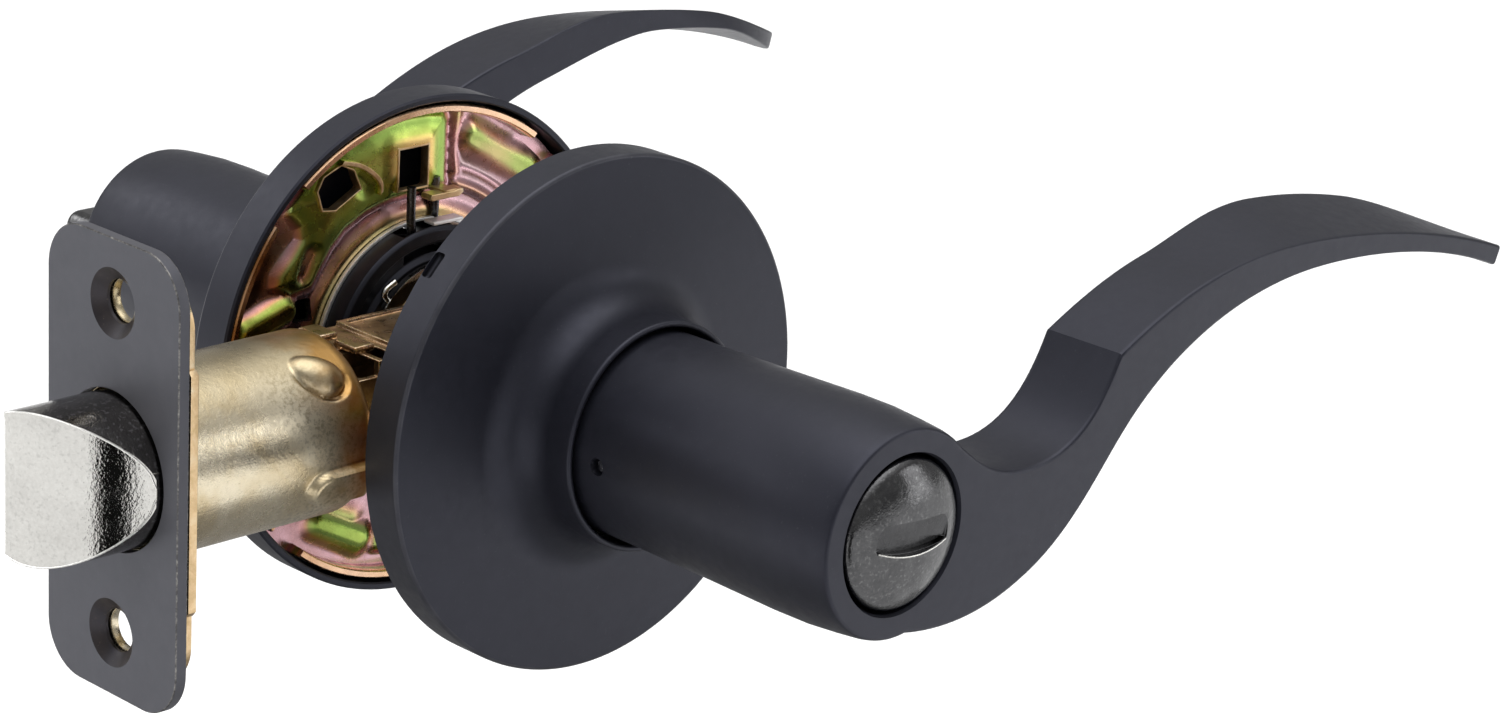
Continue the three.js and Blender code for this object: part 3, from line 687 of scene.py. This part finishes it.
def within(x, z, outline):
    """How deep each point lies inside a closed outline, in millimetres; negative outside."""
    away = np.full(np.broadcast(x, z).shape, 1e9)
    inside = np.zeros(away.shape, bool)
    for (ax, az), (bx, bz) in zip(outline, outline[1:] + outline[:1]):
        away = np.minimum(away, from_line(x, z, ax, az, bx, bz))
        crosses = (az > z) != (bz > z)
        inside ^= crosses & (x < ax + (z - az) * (bx - ax) / ((bz - az) or 1e-9))
    return np.where(inside, away, -away)


def bump_line(x, z, ax, az, bx, bz, radius, soft):
    """A long round-ended bump from 0 to 1, with a soft edge."""
    return 1 - smoothstep(from_line(x, z, ax, az, bx, bz), radius - soft, radius + soft)


def band(value, low, high, soft):
    """1 between low and high and 0 outside, with soft ends."""
    return smoothstep(value, low - soft, low + soft) * (1 - smoothstep(value, high - soft, high + soft))


def sector(angle, r, start, end, inner, outer, soft=0.7):
    """1 between two angles and two radii, with ends as soft in angle as in radius at about 24 mm."""
    return band(angle, start, end, soft / 24 * 180 / math.pi) * band(r, inner, outer, soft)


def pressed_height(r, angle):
    """How far the sheet is pressed towards the door at each place, in millimetres."""
    x, z = r * np.cos(np.radians(angle)), r * np.sin(np.radians(angle))
    edge = within(x, z, LOBE)
    lobe = 0.62 * smoothstep(edge, -1.1, 0.9) + 0.38 * smoothstep(edge, 0, 4.2)
    lobe -= 0.5 * bump_line(x, z, -18.9, 12.4, -17.6, 15, 1, 0.9)
    lobe -= 0.22 * bump_line(x, z, -10.8, 23.8, -9.4, 22.6, 1.2, 0.8)
    away = np.hypot(np.maximum(np.abs(x + 1.95) - 2.65, 0), np.maximum(np.abs(z - 24.05) - 2.95, 0))
    lobe += 0.14 * (1 - smoothstep(away, 0.6, 2.4))
    pads = np.maximum.reduce([
        lobe, sector(angle, r, 258, 322, 19.2, 28.6, 0.9),
        bump_line(x, z, -27.5, 6.2, -21.6, 8, 1.7, 1)]) * 1.6
    ridges = np.maximum.reduce([high * bump_line(x, z, *line) for high, *line in RIDGE_LINES]
                               + [high * sector(angle, r, *arch) for high, *arch in RIDGE_ARCHES])
    collar = (1 - smoothstep(r, 17.6, 19.6)) * 0.7
    hollow = (0.45 * sector(angle, r, 30, 76, 24.5, 29, 1.8)
              + 0.4 * sector(angle, r, 140, 165, 26, 29, 1.6))
    return np.maximum(pads, ridges) + collar - hollow


def mount_plate(side):
    """The pressed plate with its openings, the spring's stop tab, the keyhole's lip and bare gold edges."""
    rings, turns = 72, 480
    r = np.linspace(PLATE_HOLE, PLATE_RADIUS - 1.2, rings)[:, None]
    angle = np.linspace(0, 360, turns, endpoint=False)[None]
    height = pressed_height(r, angle)
    radius = np.broadcast_to(r, height.shape)
    c, s = np.cos(np.radians(angle)), np.sin(np.radians(angle))
    layer = lambda rr, u: np.stack([rr * c, np.broadcast_to(-u, rr.shape), rr * s], -1)
    flat = lambda rr, u: layer(np.full((1, turns), float(rr)), np.full((1, turns), float(u)))
    rim = [(30.9, 16.4), (30.95, 15), (31, PLATE_RIM + 0.2), (31.15, PLATE_RIM), (31.8, PLATE_RIM),
           (32, PLATE_RIM + 0.2), (32, 17.5), (31.85, 17.9), (31.3, PLATE_BACK), (30.9, PLATE_BACK)]
    front = layer(radius, SHEET_FRONT - height)
    back = layer(radius, PLATE_BACK - np.clip(height, 0, 1.4))[::-1]
    grid = np.vstack([front, *[flat(*p) for p in rim], back])
    plate = grid_solid(grid, wrap_rows=True, wrap_columns=True)
    long_hole = sheet([[(a, b + 24.4) for a, b in rounded_rectangle(11.5, 5.8, 2.8)]], 10, 22, 0.01)
    cutters = [bevelled(block((SLOT_LEFT, SLOT_RIGHT), (-21, -11), (SLOT_LOW, SLOT_HIGH)), 0.4, segments=3),
               bevelled(block((-19.9, -17.1), (-21, -11), (5.9, 8.9)), 0.3, segments=3),
               sheet([KEYHOLE], 10, 22, 0.01), turn_y(long_hole, 207)]
    for at in (135, 48, -134):
        cutters.append(turn_y(block((30.2, 33), (-SHEET_FRONT, -12), (-3.2, 3.2)), at))
    if side == "inside":
        for x in (-POST_X, POST_X):
            cutters.append(revolved(rectangle(0, 2.6, 11, 22), 40, shift=(x, 0, 0)))
    combine(plate, cutters)
    root = block((1.6, 3.8), (-16.9, -12.9), (20.35, 20.95))
    head = sheet([[(-0.9, 20.2), (-0.6, 19.9), (4, 19.9), (4.7, 20.4), (4.6, 20.9), (3.8, 20.9),
                   (3.2, 20.75), (-0.7, 20.75)]], 12.6, 14.8, 0.2)
    tab = joined(bevelled(root, 0.15), head)
    ridge = smooth_line([(-14, 26.7), (-11.4, 26), (-9.2, 24.7), (-7.7, 23.1), (-7.5, 21.7)], 5)
    inner, outer = [(x - 0.2, z - 0.25) for x, z in ridge], [(x + 0.2, z + 0.25) for x, z in ridge]
    lip = sheet([outer + inner[::-1]], 14.45, 16.2, 0.12)
    frames = []
    for inset in (0, 0.27):
        frames.append(rectangle(SLOT_LEFT + inset, SLOT_RIGHT - inset, SLOT_LOW + inset, SLOT_HIGH - inset))
    slot_edge = sheet(frames, 14.95, 16, 0.08)
    shrunk = [(-14.2 + 0.93 * (a + 14.2), 23.2 + 0.93 * (b - 23.2)) for a, b in KEYHOLE]
    key_edge = sheet([KEYHOLE, shrunk], 15, 16.4, 0.08)
    return joined(plate, tab, lip, slot_edge, key_edge)


def plate_material(center, normal):
    """The spring's stop tab, the keyhole's lip and the edges of the openings are plain gold."""
    on_tab = -1.2 < center.x < 5 and 19.7 < center.z < 21 and abs(center.y) < 15.2
    on_lip = -14.5 < center.x < -7.2 and 21.2 < center.z < 27.2 and abs(center.y) < 14.75
    in_slot = -4.62 < center.x < 0.72 and 21.08 < center.z < 27.02 and abs(center.y) < 16.45
    near_key = -18 < center.x < -10 and 20 < center.z < 27 and abs(center.y) < 16.45
    in_key = near_key and within(np.array([center.x]), np.array([center.z]), KEYHOLE)[0] > -0.02
    return 1 if on_tab or on_lip or in_slot or in_key else 0


place_trim(mount_plate, "mount_plate", "lock_chassis", "yellow_zinc", RAINBOW, GOLD_EDGE, angle=40,
           pick=plate_material)

# ---------------- spindle bearing and return spring


def spring_cage(side):
    cup = turned([(10.6, 13), (10.6, 12.5), (12.3, 12.2), (12.9, 12.9), (14.2, 12.9), (14.6, 12.2),
                  (16, 12.2), (16.5, 12.7), (16.5, 18.2), (15.9, 18.2), (15.9, 13.4), (15, 13.2),
                  (14.4, 13.5), (12.8, 13.5), (12.2, 13)], 0.12, 128)
    combine(cup, [block((-5, 3.2), (-19, -12.9), (10, 18))])
    tongue = bevelled(block((-0.3, 4.8), (-14.6, -12.6), (16.55, 17.05)), 0.15)
    bare_rim = turned(rectangle(16.4, 16.95, 15.4, 16.1), 0.15, 128)
    return joined(cup, tongue, bare_rim)


def cage_material(center, normal):
    """The outer rim and the tongue's top are bare steel."""
    on_tongue = center.z > 16.52 and abs(center.y) < 15
    return 1 if math.hypot(center.x, center.z) > 16.53 or on_tongue else 0


place_trim(spring_cage, "spring_cage", "lock_chassis", "black_steel", BLACK_STEEL, SILVER_EDGE,
           pick=cage_material)


def return_spring(side):
    radius, low, high, left, right = 14.6, 13.8, 15.9, -3.2, 2.6
    first, last = math.acos(left / radius), math.acos(right / radius) + 2 * math.pi
    leg = (22, 20.2, 18)
    points = [(left, -low, z) for z in leg]
    for i in range(37):
        t = i / 36
        a = first + t * (last - first)
        points.append((radius * math.cos(a), -(low + t * (high - low)), radius * math.sin(a)))
    points += [(right, -high, z) for z in leg[::-1]]
    return swept(smooth_line(points, 4), 0.6, 14)


place_trim(return_spring, "return_spring", "lock_chassis", "spring_steel", SPRING_WIRE)
place_trim(lambda side: turned(rectangle(9.85, 12.6, 13.2, 20.5), 0.3),
           "bushing", "lock_chassis", "black_steel", BLACK_STEEL)


def sleeve(side):
    tube = turned([(8.2, 10.3), (9.55, 10.3), (9.55, 58), (8.2, 58), (8.2, 32), (4.5, 32), (4.5, 29),
                   (8.2, 29)], 0.25, 112)
    tools = [revolved(rectangle(0, 1.1, -11, -7), 24, "x", CATCH)]
    if side == "outside":
        tools.append(bevelled(block((7, 11), (-38.3, -33.7), (-1.9, 1.9)), 0.3))
    return combine(tube, tools)


place_trim(sleeve, "sleeve", LEVER_BODY, "bronze_zinc", BRONZE)


def spring_arm(side):
    washer = turned(rectangle(9.85, 12.9, 20.8, 22.2), 0.25)
    finger = bevelled(block((-2, 2), (-22.2, -17), (-14.4, -12.75)), 0.3)
    return combine(washer, [finger], "UNION")


def retaining_ring(side):
    ring = turned(rectangle(9.85, 12.2, 10.9, 11.9), 0.15)
    combine(ring, [block((-1.8, 1.8), (-13, -10), (-14, -8))])
    hook = smooth_line([(-8.6, -11.4, 8.2), (-9.3, -11.4, 9), (-9.1, -11.4, 9.9), (-7.6, -11.4, 10.7)], 5)
    return joined(turn_y(ring, 240), swept(hook, 0.42))


place_trim(spring_arm, "spring_arm", LEVER_BODY, "nickel", NICKEL)
place_trim(retaining_ring, "retaining_ring", LEVER_BODY, "nickel", NICKEL)
place_trim(lambda side: turned(rectangle(0, 0.8, -12.6, -9.9), 0.3, 32, 3, axis="x", shift=CATCH),
           "lever_catch", "{side}_catch", "nickel", NICKEL)

# ---------------- privacy lock

DOME_TOP, DOME_CURVE = 73.4, 0.0171
SLOT_TURN = -3.5
SHANK_BACK = [(0, 62), (3, 62), (3, 50), (4.6, 50), (4.6, 66.4), (9.5, 66.4)]


def leaf_outline(half, swell, centre=-0.7):
    """A pointed slot outline, widest in its middle."""
    across = np.linspace(-half, half, 27)
    upper = [(x, centre + swell * (1 - (x / half) ** 2)) for x in across]
    return upper + [(x, centre - swell * (1 - (x / half) ** 2)) for x in across[::-1][1:-1]]


def release_button():
    """A domed button with a coin slot, a slanting pocket above it and a raised lip below it."""
    dome = ellipse(7, 70.2, 2.5, 1.9, 0, 58, 10)
    dome += [(7.6, 72.2), (6.6, 72.56), (5.2, 72.92), (3.6, 73.19), (1.8, 73.35), (0, DOME_TOP)]
    body = revolved(SHANK_BACK + dome, 128)
    slot = sheet([leaf_outline(6, 0.72)], 72, 75, 0.005)
    lead_in = sheet([leaf_outline(6.5, 1.05)], 72.93, 75, 0.005)
    pocket = block((-6.1, 6.1), (-75, -73.4), (-0.8, 2.5))
    pocket.data.transform(Matrix.Translation((0, -72.85, 2.5)) @ Matrix.Rotation(math.radians(9), 4, "X")
                          @ Matrix.Translation((0, 73.4, -2.5)))
    bevelled(pocket, 0.25)
    combine(body, [pocket, lead_in, slot])
    low = leaf_outline(6.3, 1.15)[27:]
    crest = [(x, -DOME_TOP + DOME_CURVE * (x * x + z * z) + 0.03, z) for x, z in low[::2]]
    return turn_y(joined(body, swept(crest, 0.13, 8)), SLOT_TURN)


def button_material(center, normal):
    """The slot and the pocket are painted darker than the dome as painted shade, and the slot's lower lip is
    painted bright as a painted highlight.
    """
    dome = DOME_TOP - DOME_CURVE * (center.x ** 2 + center.z ** 2)
    # The wire on the slot's lower lip is painted bright as a painted highlight.
    if -center.y > dome + 0.05:
        return 2
    # The slot and pocket take the darker pewter as painted shade.
    return 1 if abs(center.x) < 6.4 and -2.2 < center.z < 2.9 and 70 < -center.y < dome - 0.1 else 0


def turn_button():
    body = revolved(SHANK_BACK + [(9.5, 70.6), (9.3, 71.2), (8.7, 71.6), (7.6, 71.8), (0, 71.8)], 112)
    paddle = sheet([rounded_rectangle(14.5, 4.6, 2.2)], 71, 83.7, 1.4, resolution=5)
    return mirrored(combine(body, [paddle], "UNION"))


place(release_button(), "release_button", "lock_spindle", "dark_pewter", PEWTER, PEWTER_RECESS_SHADE, BRIGHT_WIRE_AND_LIP_HIGHLIGHT,
      angle=24, pick=button_material)
place(turn_button(), "inside_turn_button", "lock_spindle", "dark_pewter", PEWTER)
place(bevelled(block((-2.2, 2.2), (-61, 61), (-1.1, 1.1)), 0.25), "lock_rod", "lock_spindle",
      "nickel", NICKEL)
place(bevelled(block((5, 8), (-38, -34), (-1.6, 1.6)), 0.3), "locking_dog", "dog", "nickel", NICKEL)

# ---------------- latch

PLATE_FRONT, PLATE_THICK, HOLE_Z, BOLT_HOLE = -60.3, 1.6, 20.65, 9.95


def circle(radius, x=0, z=0, steps=64):
    return arc(x, z, radius, 0, 360, steps)[:-1]


def faceplate():
    plate = sheet([rounded_rectangle(25.4, 57.15, 6.35, 16), circle(BOLT_HOLE)], PLATE_FRONT,
                  PLATE_FRONT + PLATE_THICK, 0.16, "yz", 1)
    sink = [(0, -64), (4.45, -64), (4.3, PLATE_FRONT - 0.01), (4.12, PLATE_FRONT + 0.12),
            (2.7, PLATE_FRONT + 1.2), (2.7, -55), (0, -55)]
    return combine(plate, [revolved(sink, 64, "x", (0, 0, z)) for z in (-HOLE_Z, HOLE_Z)])


def faceplate_material(center, normal):
    """Countersinks are brown inside, partly their own rust and bare zinc and partly painted shade, and the
    outer edges are worn metal that also carries a painted highlight.
    """
    if min(math.hypot(center.y, center.z - z) for z in (-HOLE_Z, HOLE_Z)) < 4.5:
        return 2 if abs(normal.x) < 0.97 else 0
    return 1 if 0.2 < abs(normal.x) < 0.97 and math.hypot(center.y, center.z) > 10.5 else 0


place(faceplate(), "faceplate", "lock_chassis", "matte_black", PLATE_BLACK, WORN_EDGE_AND_HIGHLIGHT, SINK_BROWN_AND_SHADE,
      pick=faceplate_material)


def backplate():
    half, step, end, corner = 12.5, 15.25, 11.7, 5.6
    quarter = [(half, step - 0.6), (half - 0.5, step), (end, step)]
    quarter += arc(end - corner, 25 - corner, corner, 0, 90, 10)
    outline = quarter + [(-a, b) for a, b in reversed(quarter)]
    outline += [(-a, -b) for a, b in quarter] + [(a, -b) for a, b in reversed(quarter)]
    holes = [circle(BOLT_HOLE)] + [circle(2.55, 0, z, 40) for z in (-HOLE_Z, HOLE_Z)]
    return sheet([outline, *holes], -58.4, -57.2, 0.15, "yz", 1)


def backplate_material(center, normal):
    """The outer edge is a bare cut."""
    return 1 if abs(normal.x) < 0.9 and max(abs(center.y) - 11, abs(center.z) - 23.8) > 0 else 0


place(backplate(), "backplate", "lock_chassis", "yellow_zinc", CHAMPAGNE, GOLD_EDGE, pick=backplate_material)

TUBE_RADIUS, TUBE_START, TUBE_END = 11.6, -56.9, -29


def tube_bumps(x, angle):
    """Pressed features of the latch tube: a teardrop dome, a long lug running to the end, and a dent."""
    around = lambda centre: TUBE_RADIUS * np.radians((angle - centre + 180) % 360 - 180)
    s, t = x + 34.9, around(131)
    along, across = (s + t) * 0.707, (s - t) * 0.707
    reach = np.hypot(along / np.where(along < 0, 4.4, 3), across / 2.5)
    crease = np.exp(-((reach - 1.08) / 0.13) ** 2) * smoothstep(along - 1.4 * across, -1.5, 2.5)
    dome = 1.5 * np.clip(1 - reach ** 2, 0, 1) ** 0.75 - 0.5 * crease
    s, t = x + 33.6, around(201)
    from_spine = np.hypot(np.minimum(s + 3, 0) * 0.8, t)
    lug = 1.25 * (1 - smoothstep(from_spine, 1.9, 2.6)) * (1 - smoothstep(x, -30.6, -29.2))
    dent = -0.25 * np.exp(-((x + 52.6) / 0.9) ** 2 - (around(96) / 1.3) ** 2)
    return dome + lug + dent


def latch_tube():
    turn_in, wall, turns = 2.4, 0.9, 320
    straight = np.linspace(TUBE_START + 0.2, TUBE_END - turn_in, 110)
    bend = np.radians(np.linspace(0, 90, 14))[1:]
    angle = np.linspace(0, 360, turns, endpoint=False)

    def shell(straight, radius, bend_radius):
        """Places along the tube and radii of one wall, up to the turned-in end."""
        x = np.concatenate([straight, TUBE_END - turn_in + bend_radius * np.sin(bend)])
        turned_in = TUBE_RADIUS - turn_in + bend_radius * np.cos(bend)
        return x, np.concatenate([np.full(len(straight), radius), turned_in])

    x, r = shell(straight, TUBE_RADIUS, turn_in)
    X, A = np.meshgrid(x, angle, indexing="ij")
    R = r[:, None] + tube_bumps(X, A)
    layer = lambda X, R: np.stack([X, R * np.cos(np.radians(A[:1])), R * np.sin(np.radians(A[:1]))], -1)
    ring = lambda x0, r0: layer(np.full((1, turns), x0), np.full((1, turns), r0))
    inner_x, inner_r = shell(straight[::4], TUBE_RADIUS - wall, turn_in - wall)
    inner = layer(np.repeat(inner_x[:, None], turns, 1), np.repeat(inner_r[:, None], turns, 1))[::-1]
    mouth_out, mouth_in = ring(TUBE_START, TUBE_RADIUS - 0.2), ring(TUBE_START, TUBE_RADIUS - wall)
    grid = np.vstack([mouth_out, layer(X, R), inner, mouth_in])
    return grid_solid(grid, wrap_rows=True, wrap_columns=True)


place(latch_tube(), "latch_tube", "lock_chassis", "yellow_zinc", CHAMPAGNE, angle=50)


def latch_case():
    """A folded steel case with lapped flanges, cut through for the posts and the cam."""
    start, end, half, top = -28.7, 14, 6.9, 9.2
    outer = block((start, end), (-half, half), (-top, top))
    inside = half - 1
    tools = [block((start + 1, end + 1), (-inside, inside), (-8.3, 8.3)),
             revolved(rectangle(0, 6.1, -9, 9), 64),
             revolved(rectangle(0, 3.7, -9, 9), 40, shift=(-POST_X, 0, 0))]
    cuts = [((start - 1, start + 2), (-1.9, 1.9), 5.8, 8.3),
            ((start - 1, -21), (-half - 1, half + 1), 8.6, 10),
            ((start - 1, -25.5), (-half - 1, -0.5), 6.6, 10),
            ((-19.9, end - 0.9), (-half + 0.75, half - 0.75), 8.85, 10),
            ((-24.6, -22.2), (-half - 1, -2.2), 7.4, 10),
            ((-5, 10), (-2.6, 2.6), 7, 11),
            ((start - 1, start + 1.6), (-half - 1, -half + 1.6), 7, 11)]
    tools += [block(x, y, sorted((low * sign, high * sign))) for sign in (-1, 1) for x, y, low, high in cuts]
    combine(outer, tools)
    clips = [block((-28.6, -25.6), (0.8, 5.2), (9.3, 10.3)), block((-26.4, -23.2), (-3.4, 1), (8.5, 9.5))]
    # The bevels take the lighter bronze, so the case's edges read brighter.
    return joined(bevelled(outer, 0.3, 40, 2, slot=1), *[bevelled(clip, 0.35, slot=1) for clip in clips])


place(latch_case(), "latch_case", "lock_chassis", "bronze_zinc", BRONZE, BRONZE_EDGE)

BOLT_NOSE, BOLT_REAR, BOLT_RADIUS = -72.9, -55, 9.6
RAMP_START, RAMP_MIDDLE, RAMP_END = (BOLT_NOSE, 3.6), (BOLT_NOSE + 1.6, -4.6), (-60.9, -9.45)


def latch_bolt():
    """A round bar cut to a curved ramp, with bright wires along the ramp's edges as painted highlight lines.
    """
    bar = turned(rectangle(0, BOLT_RADIUS, BOLT_NOSE, BOLT_REAR), 0.3, 160, 3, axis="x")
    start, middle, end = (np.array(p) for p in (RAMP_START, RAMP_MIDDLE, RAMP_END))
    ramp = [RAMP_START]
    for t in np.linspace(0, 1, 33)[1:]:
        ramp.append(tuple((1 - t) ** 2 * start + 2 * t * (1 - t) * middle + t * t * end))
    outline = ramp + [(RAMP_END[0], -12), (BOLT_REAR - 1, -12), (BOLT_REAR - 1, 12), (-58.9, 12),
                      (-58.9, 4.4), (BOLT_NOSE + 0.6, 4.4)]
    verts = [(x, y, z) for z in (-12, 12) for x, y in outline]
    n = len(outline)
    faces = [tuple(range(n)), tuple(range(2 * n - 1, n - 1, -1))]
    faces += [(i, i + n, (i + 1) % n + n, (i + 1) % n) for i in range(n)]
    combine(bar, [solid(verts, faces)], "INTERSECT")
    bevelled(bar, 0.12, 30, 2)
    # The ramp keeps the bright nickel; the bar's other faces take the dark nickel, partly a darker finish and
    # partly a painted dark reflection.
    for polygon in bar.data.polygons:
        center, normal = polygon.center, polygon.normal
        polygon.material_index = 0 if normal.z ** 2 < 0.5 and center.x < -60.8 and normal.x < -0.1 else 1
    inset, front = 9.47, BOLT_NOSE + 0.1
    rim = [(max(x, front), y, math.sqrt(inset ** 2 - min(y * y, inset ** 2))) for x, y in ramp]
    rim = [(front, 3.5, z) for z in np.linspace(0, rim[0][2], 12)[:-1]] + rim
    # Bright wires along both ramp edges: painted highlight lines.
    edges = [swept([(x, y, sign * z) for x, y, z in rim], 0.13, 8) for sign in (-1, 1)]
    for edge in edges:
        for polygon in edge.data.polygons:
            polygon.material_index = 2
    return joined(bar, *edges)


place(latch_bolt(), "latch_bolt", "bolt_assembly", "nickel", NICKEL, DARK_NICKEL_AND_REFLECTION, NICKEL_EDGE_HIGHLIGHT, angle=22)


def bolt_tail():
    head = turned(rectangle(0, 8.4, -54.7, -51.5), 0.4, 64, axis="x")
    rails = [block((-53, 5), (-1.5, 1.5), sorted((6.2 * sign, 8.2 * sign))) for sign in (-1, 1)]
    lug = block((2.4, 4.9), (-4.6, -1.2), (6.2, 8.1))
    return bevelled(combine(head, [*rails, lug], "UNION"), 0.2, 40)


place(bolt_tail(), "bolt_tail", "bolt_assembly", "bronze_zinc", BRONZE)


def bolt_spring():
    start, end, radius, turns = -50.7, -29.4, 4.6, 8
    t = np.linspace(0, 1, turns * 28 + 1)
    pitch = smoothstep(t, -0.05, 1.05)
    a = 2 * np.pi * turns * t
    coil = np.stack([start + pitch * (end - start), radius * np.cos(a), radius * np.sin(a)], -1)
    return swept(coil, 0.45, 10)


spring = place(bolt_spring(), "bolt_spring", "lock_chassis", "spring_steel", BRIGHT_WIRE_AND_LIP_HIGHLIGHT)
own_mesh(spring)


def spindle_cam():
    hub = turned(rectangle(4.5, 5.8, -7.2, 7.2), 0.2, 72)
    finger = bevelled(block((-1.9, 1.9), (-4.6, -2.2), (5.2, 8)), 0.35)
    return combine(hub, [finger], "UNION")


place(spindle_cam(), "spindle_cam", "cam_assembly", "bronze_zinc", BRONZE)
place(turned(rectangle(3.1, 4.2, -31.5, 31.5), 0.25, 64), "drive_spindle", "cam_assembly",
      "bronze_zinc", BRONZE)


def mounting_post(x):
    return turned([(0, 6), (2.3, 6), (2.3, -4), (3.2, -4), (3.2, 16.6), (0, 16.6)], 0.25, 56,
                  shift=(x, 0, 0))


def mounting_screw(x):
    """A pan-head screw with a cross recess and a rolled thread, drawn from its tip to its head."""
    profile, at, pitch = [(0, -4.6), (1, -4.4)], -4, 0.7
    while at < 12:
        profile += [(1.55, at), (1.9, at + pitch / 2), (1.55, at + pitch)]
        at += pitch
    profile += [(1.9, 12.6), (1.9, 16.5), (4.4, 16.5), (4.4, 17), (4, 17.6), (2.6, 17.95), (0, 18)]
    cross = [block((x - a, x + a), (-19, -16.9), (-b, b)) for a, b in ((2, 0.4), (0.4, 2))]
    return mirrored(combine(revolved(profile, 48, shift=(x, 0, 0)), cross))


for label, x in (("left", -POST_X), ("right", POST_X)):
    place(mounting_post(x), f"{label}_mounting_post", "lock_chassis", "bronze_zinc", BRONZE)
    place(mounting_screw(x), f"{label}_mounting_screw", "lock_chassis", "yellow_zinc", CHAMPAGNE)

# ---------------- stage, light and camera


def plain(name, color, roughness):
    n = Nodes(name)
    tint = n.ramp(n.noise(3, 2), clouds(tuple(c * 0.99 for c in color), color))
    uneven = n.span(n.noise(5), 0.3, 0.7, roughness, roughness + 0.05)
    return n.finish(tint, uneven, Specular_IOR_Level=0.1)


def level_card(x, y, z):
    return [(a, b, z) for a, b in rectangle(*x, *y)]


def stage_sheet(name, corners):
    """A four-cornered sheet that belongs to the studio, not to the part."""
    mesh = bpy.data.meshes.new(name)
    mesh.from_pydata(corners, [], [(0, 1, 2, 3)])
    mesh.materials.append(PALE)
    piece = linked(name, mesh)
    return piece


PALE = plain("pale_studio", (0.93, 0.93, 0.93), 0.9)
stage_sheet("floor", level_card((-6, 6), (-6, 6), -0.16))

world = bpy.data.worlds.new("studio")
bpy.context.scene.world = world
world.use_nodes = True
tree = world.node_tree
direction = tree.nodes.new("ShaderNodeTexCoord")
height = tree.nodes.new("ShaderNodeSeparateXYZ")
glow = tree.nodes.new("ShaderNodeValToRGB")
tree.links.new(direction.outputs["Generated"], height.inputs["Vector"])
tree.links.new(height.outputs["Z"], glow.inputs["Fac"])
tree.links.new(glow.outputs["Color"], tree.nodes["Background"].inputs["Color"])
SKY = [(0, 0.13), (0.6, 0.14), (0.8, 0.42), (0.92, 1)]
while len(glow.color_ramp.elements) < len(SKY):
    glow.color_ramp.elements.new(0.5)
for element, (at, level) in zip(glow.color_ramp.elements, SKY):
    element.position, element.color = at, (level, level, level, 1)
tree.nodes["Background"].inputs["Strength"].default_value = 2.9


def softbox(name, at, target, width, height, radiance):
    light = bpy.data.lights.new(name, "AREA")
    light.shape = "RECTANGLE"
    light.size, light.size_y = width, height
    light.energy = radiance * math.pi * width * height
    lamp = linked(name, light)
    lamp.location = at
    lamp.visible_camera = False
    lamp.rotation_euler = (Vector(target) - Vector(at)).to_track_quat("-Z", "Y").to_euler()


def flag(name, material, corners):
    """A dark card that only reflections see."""
    card = stage_sheet(name, corners)
    card.data.materials[0] = material
    card.visible_camera = card.visible_diffuse = card.visible_shadow = card.visible_transmission = False


FLAG_BLACK = plain("flag_black", (0.004, 0.004, 0.004), 0.9)
FLAG_GREY = plain("flag_grey", (0.28, 0.28, 0.28), 0.9)
softbox("front_right", (0.68, -0.67, 0.2), (0, 0, 0), 0.3, 0.56, 2.2)
softbox("back_left", (-0.62, 0.72, 0.36), (0, 0, 0), 0.7, 0.4, 1.3)
softbox("back_hub", (-0.11, 0.33, 0.215), (-0.01, 0.056, 0.01), 0.14, 0.14, 2.6)
flag("under_flag", FLAG_GREY, level_card((-0.12, 0.12), (-0.09, 0.16), -0.1))
flag("front_flag", FLAG_BLACK,
     [(-0.23, -0.194, -0.158), (-0.158, -0.24, -0.158), (-0.158, -0.24, 0.01), (-0.23, -0.194, 0.01)])

camera_data = bpy.data.cameras.new("camera")
camera_data.sensor_width = 36
camera_data.lens = 94.11
camera_data.clip_start, camera_data.clip_end = 0.01, 50
camera = linked("camera", camera_data)
eye, aim = Vector((-0.3204, -0.3526, 0.1627)), Vector((0.00119, -0.04374, 0.01412))
back = (eye - aim).normalized()
level = Vector((0, 0, 1)).cross(back).normalized()
ROLL = math.radians(3.424)
right = level * math.cos(ROLL) + back.cross(level) * math.sin(ROLL)
up = back.cross(right)
camera.matrix_world = Matrix((
    (right.x, up.x, back.x, eye.x), (right.y, up.y, back.y, eye.y),
    (right.z, up.z, back.z, eye.z), (0, 0, 0, 1)))
bpy.context.scene.camera = camera

bpy.context.scene.view_settings.view_transform = "Standard"
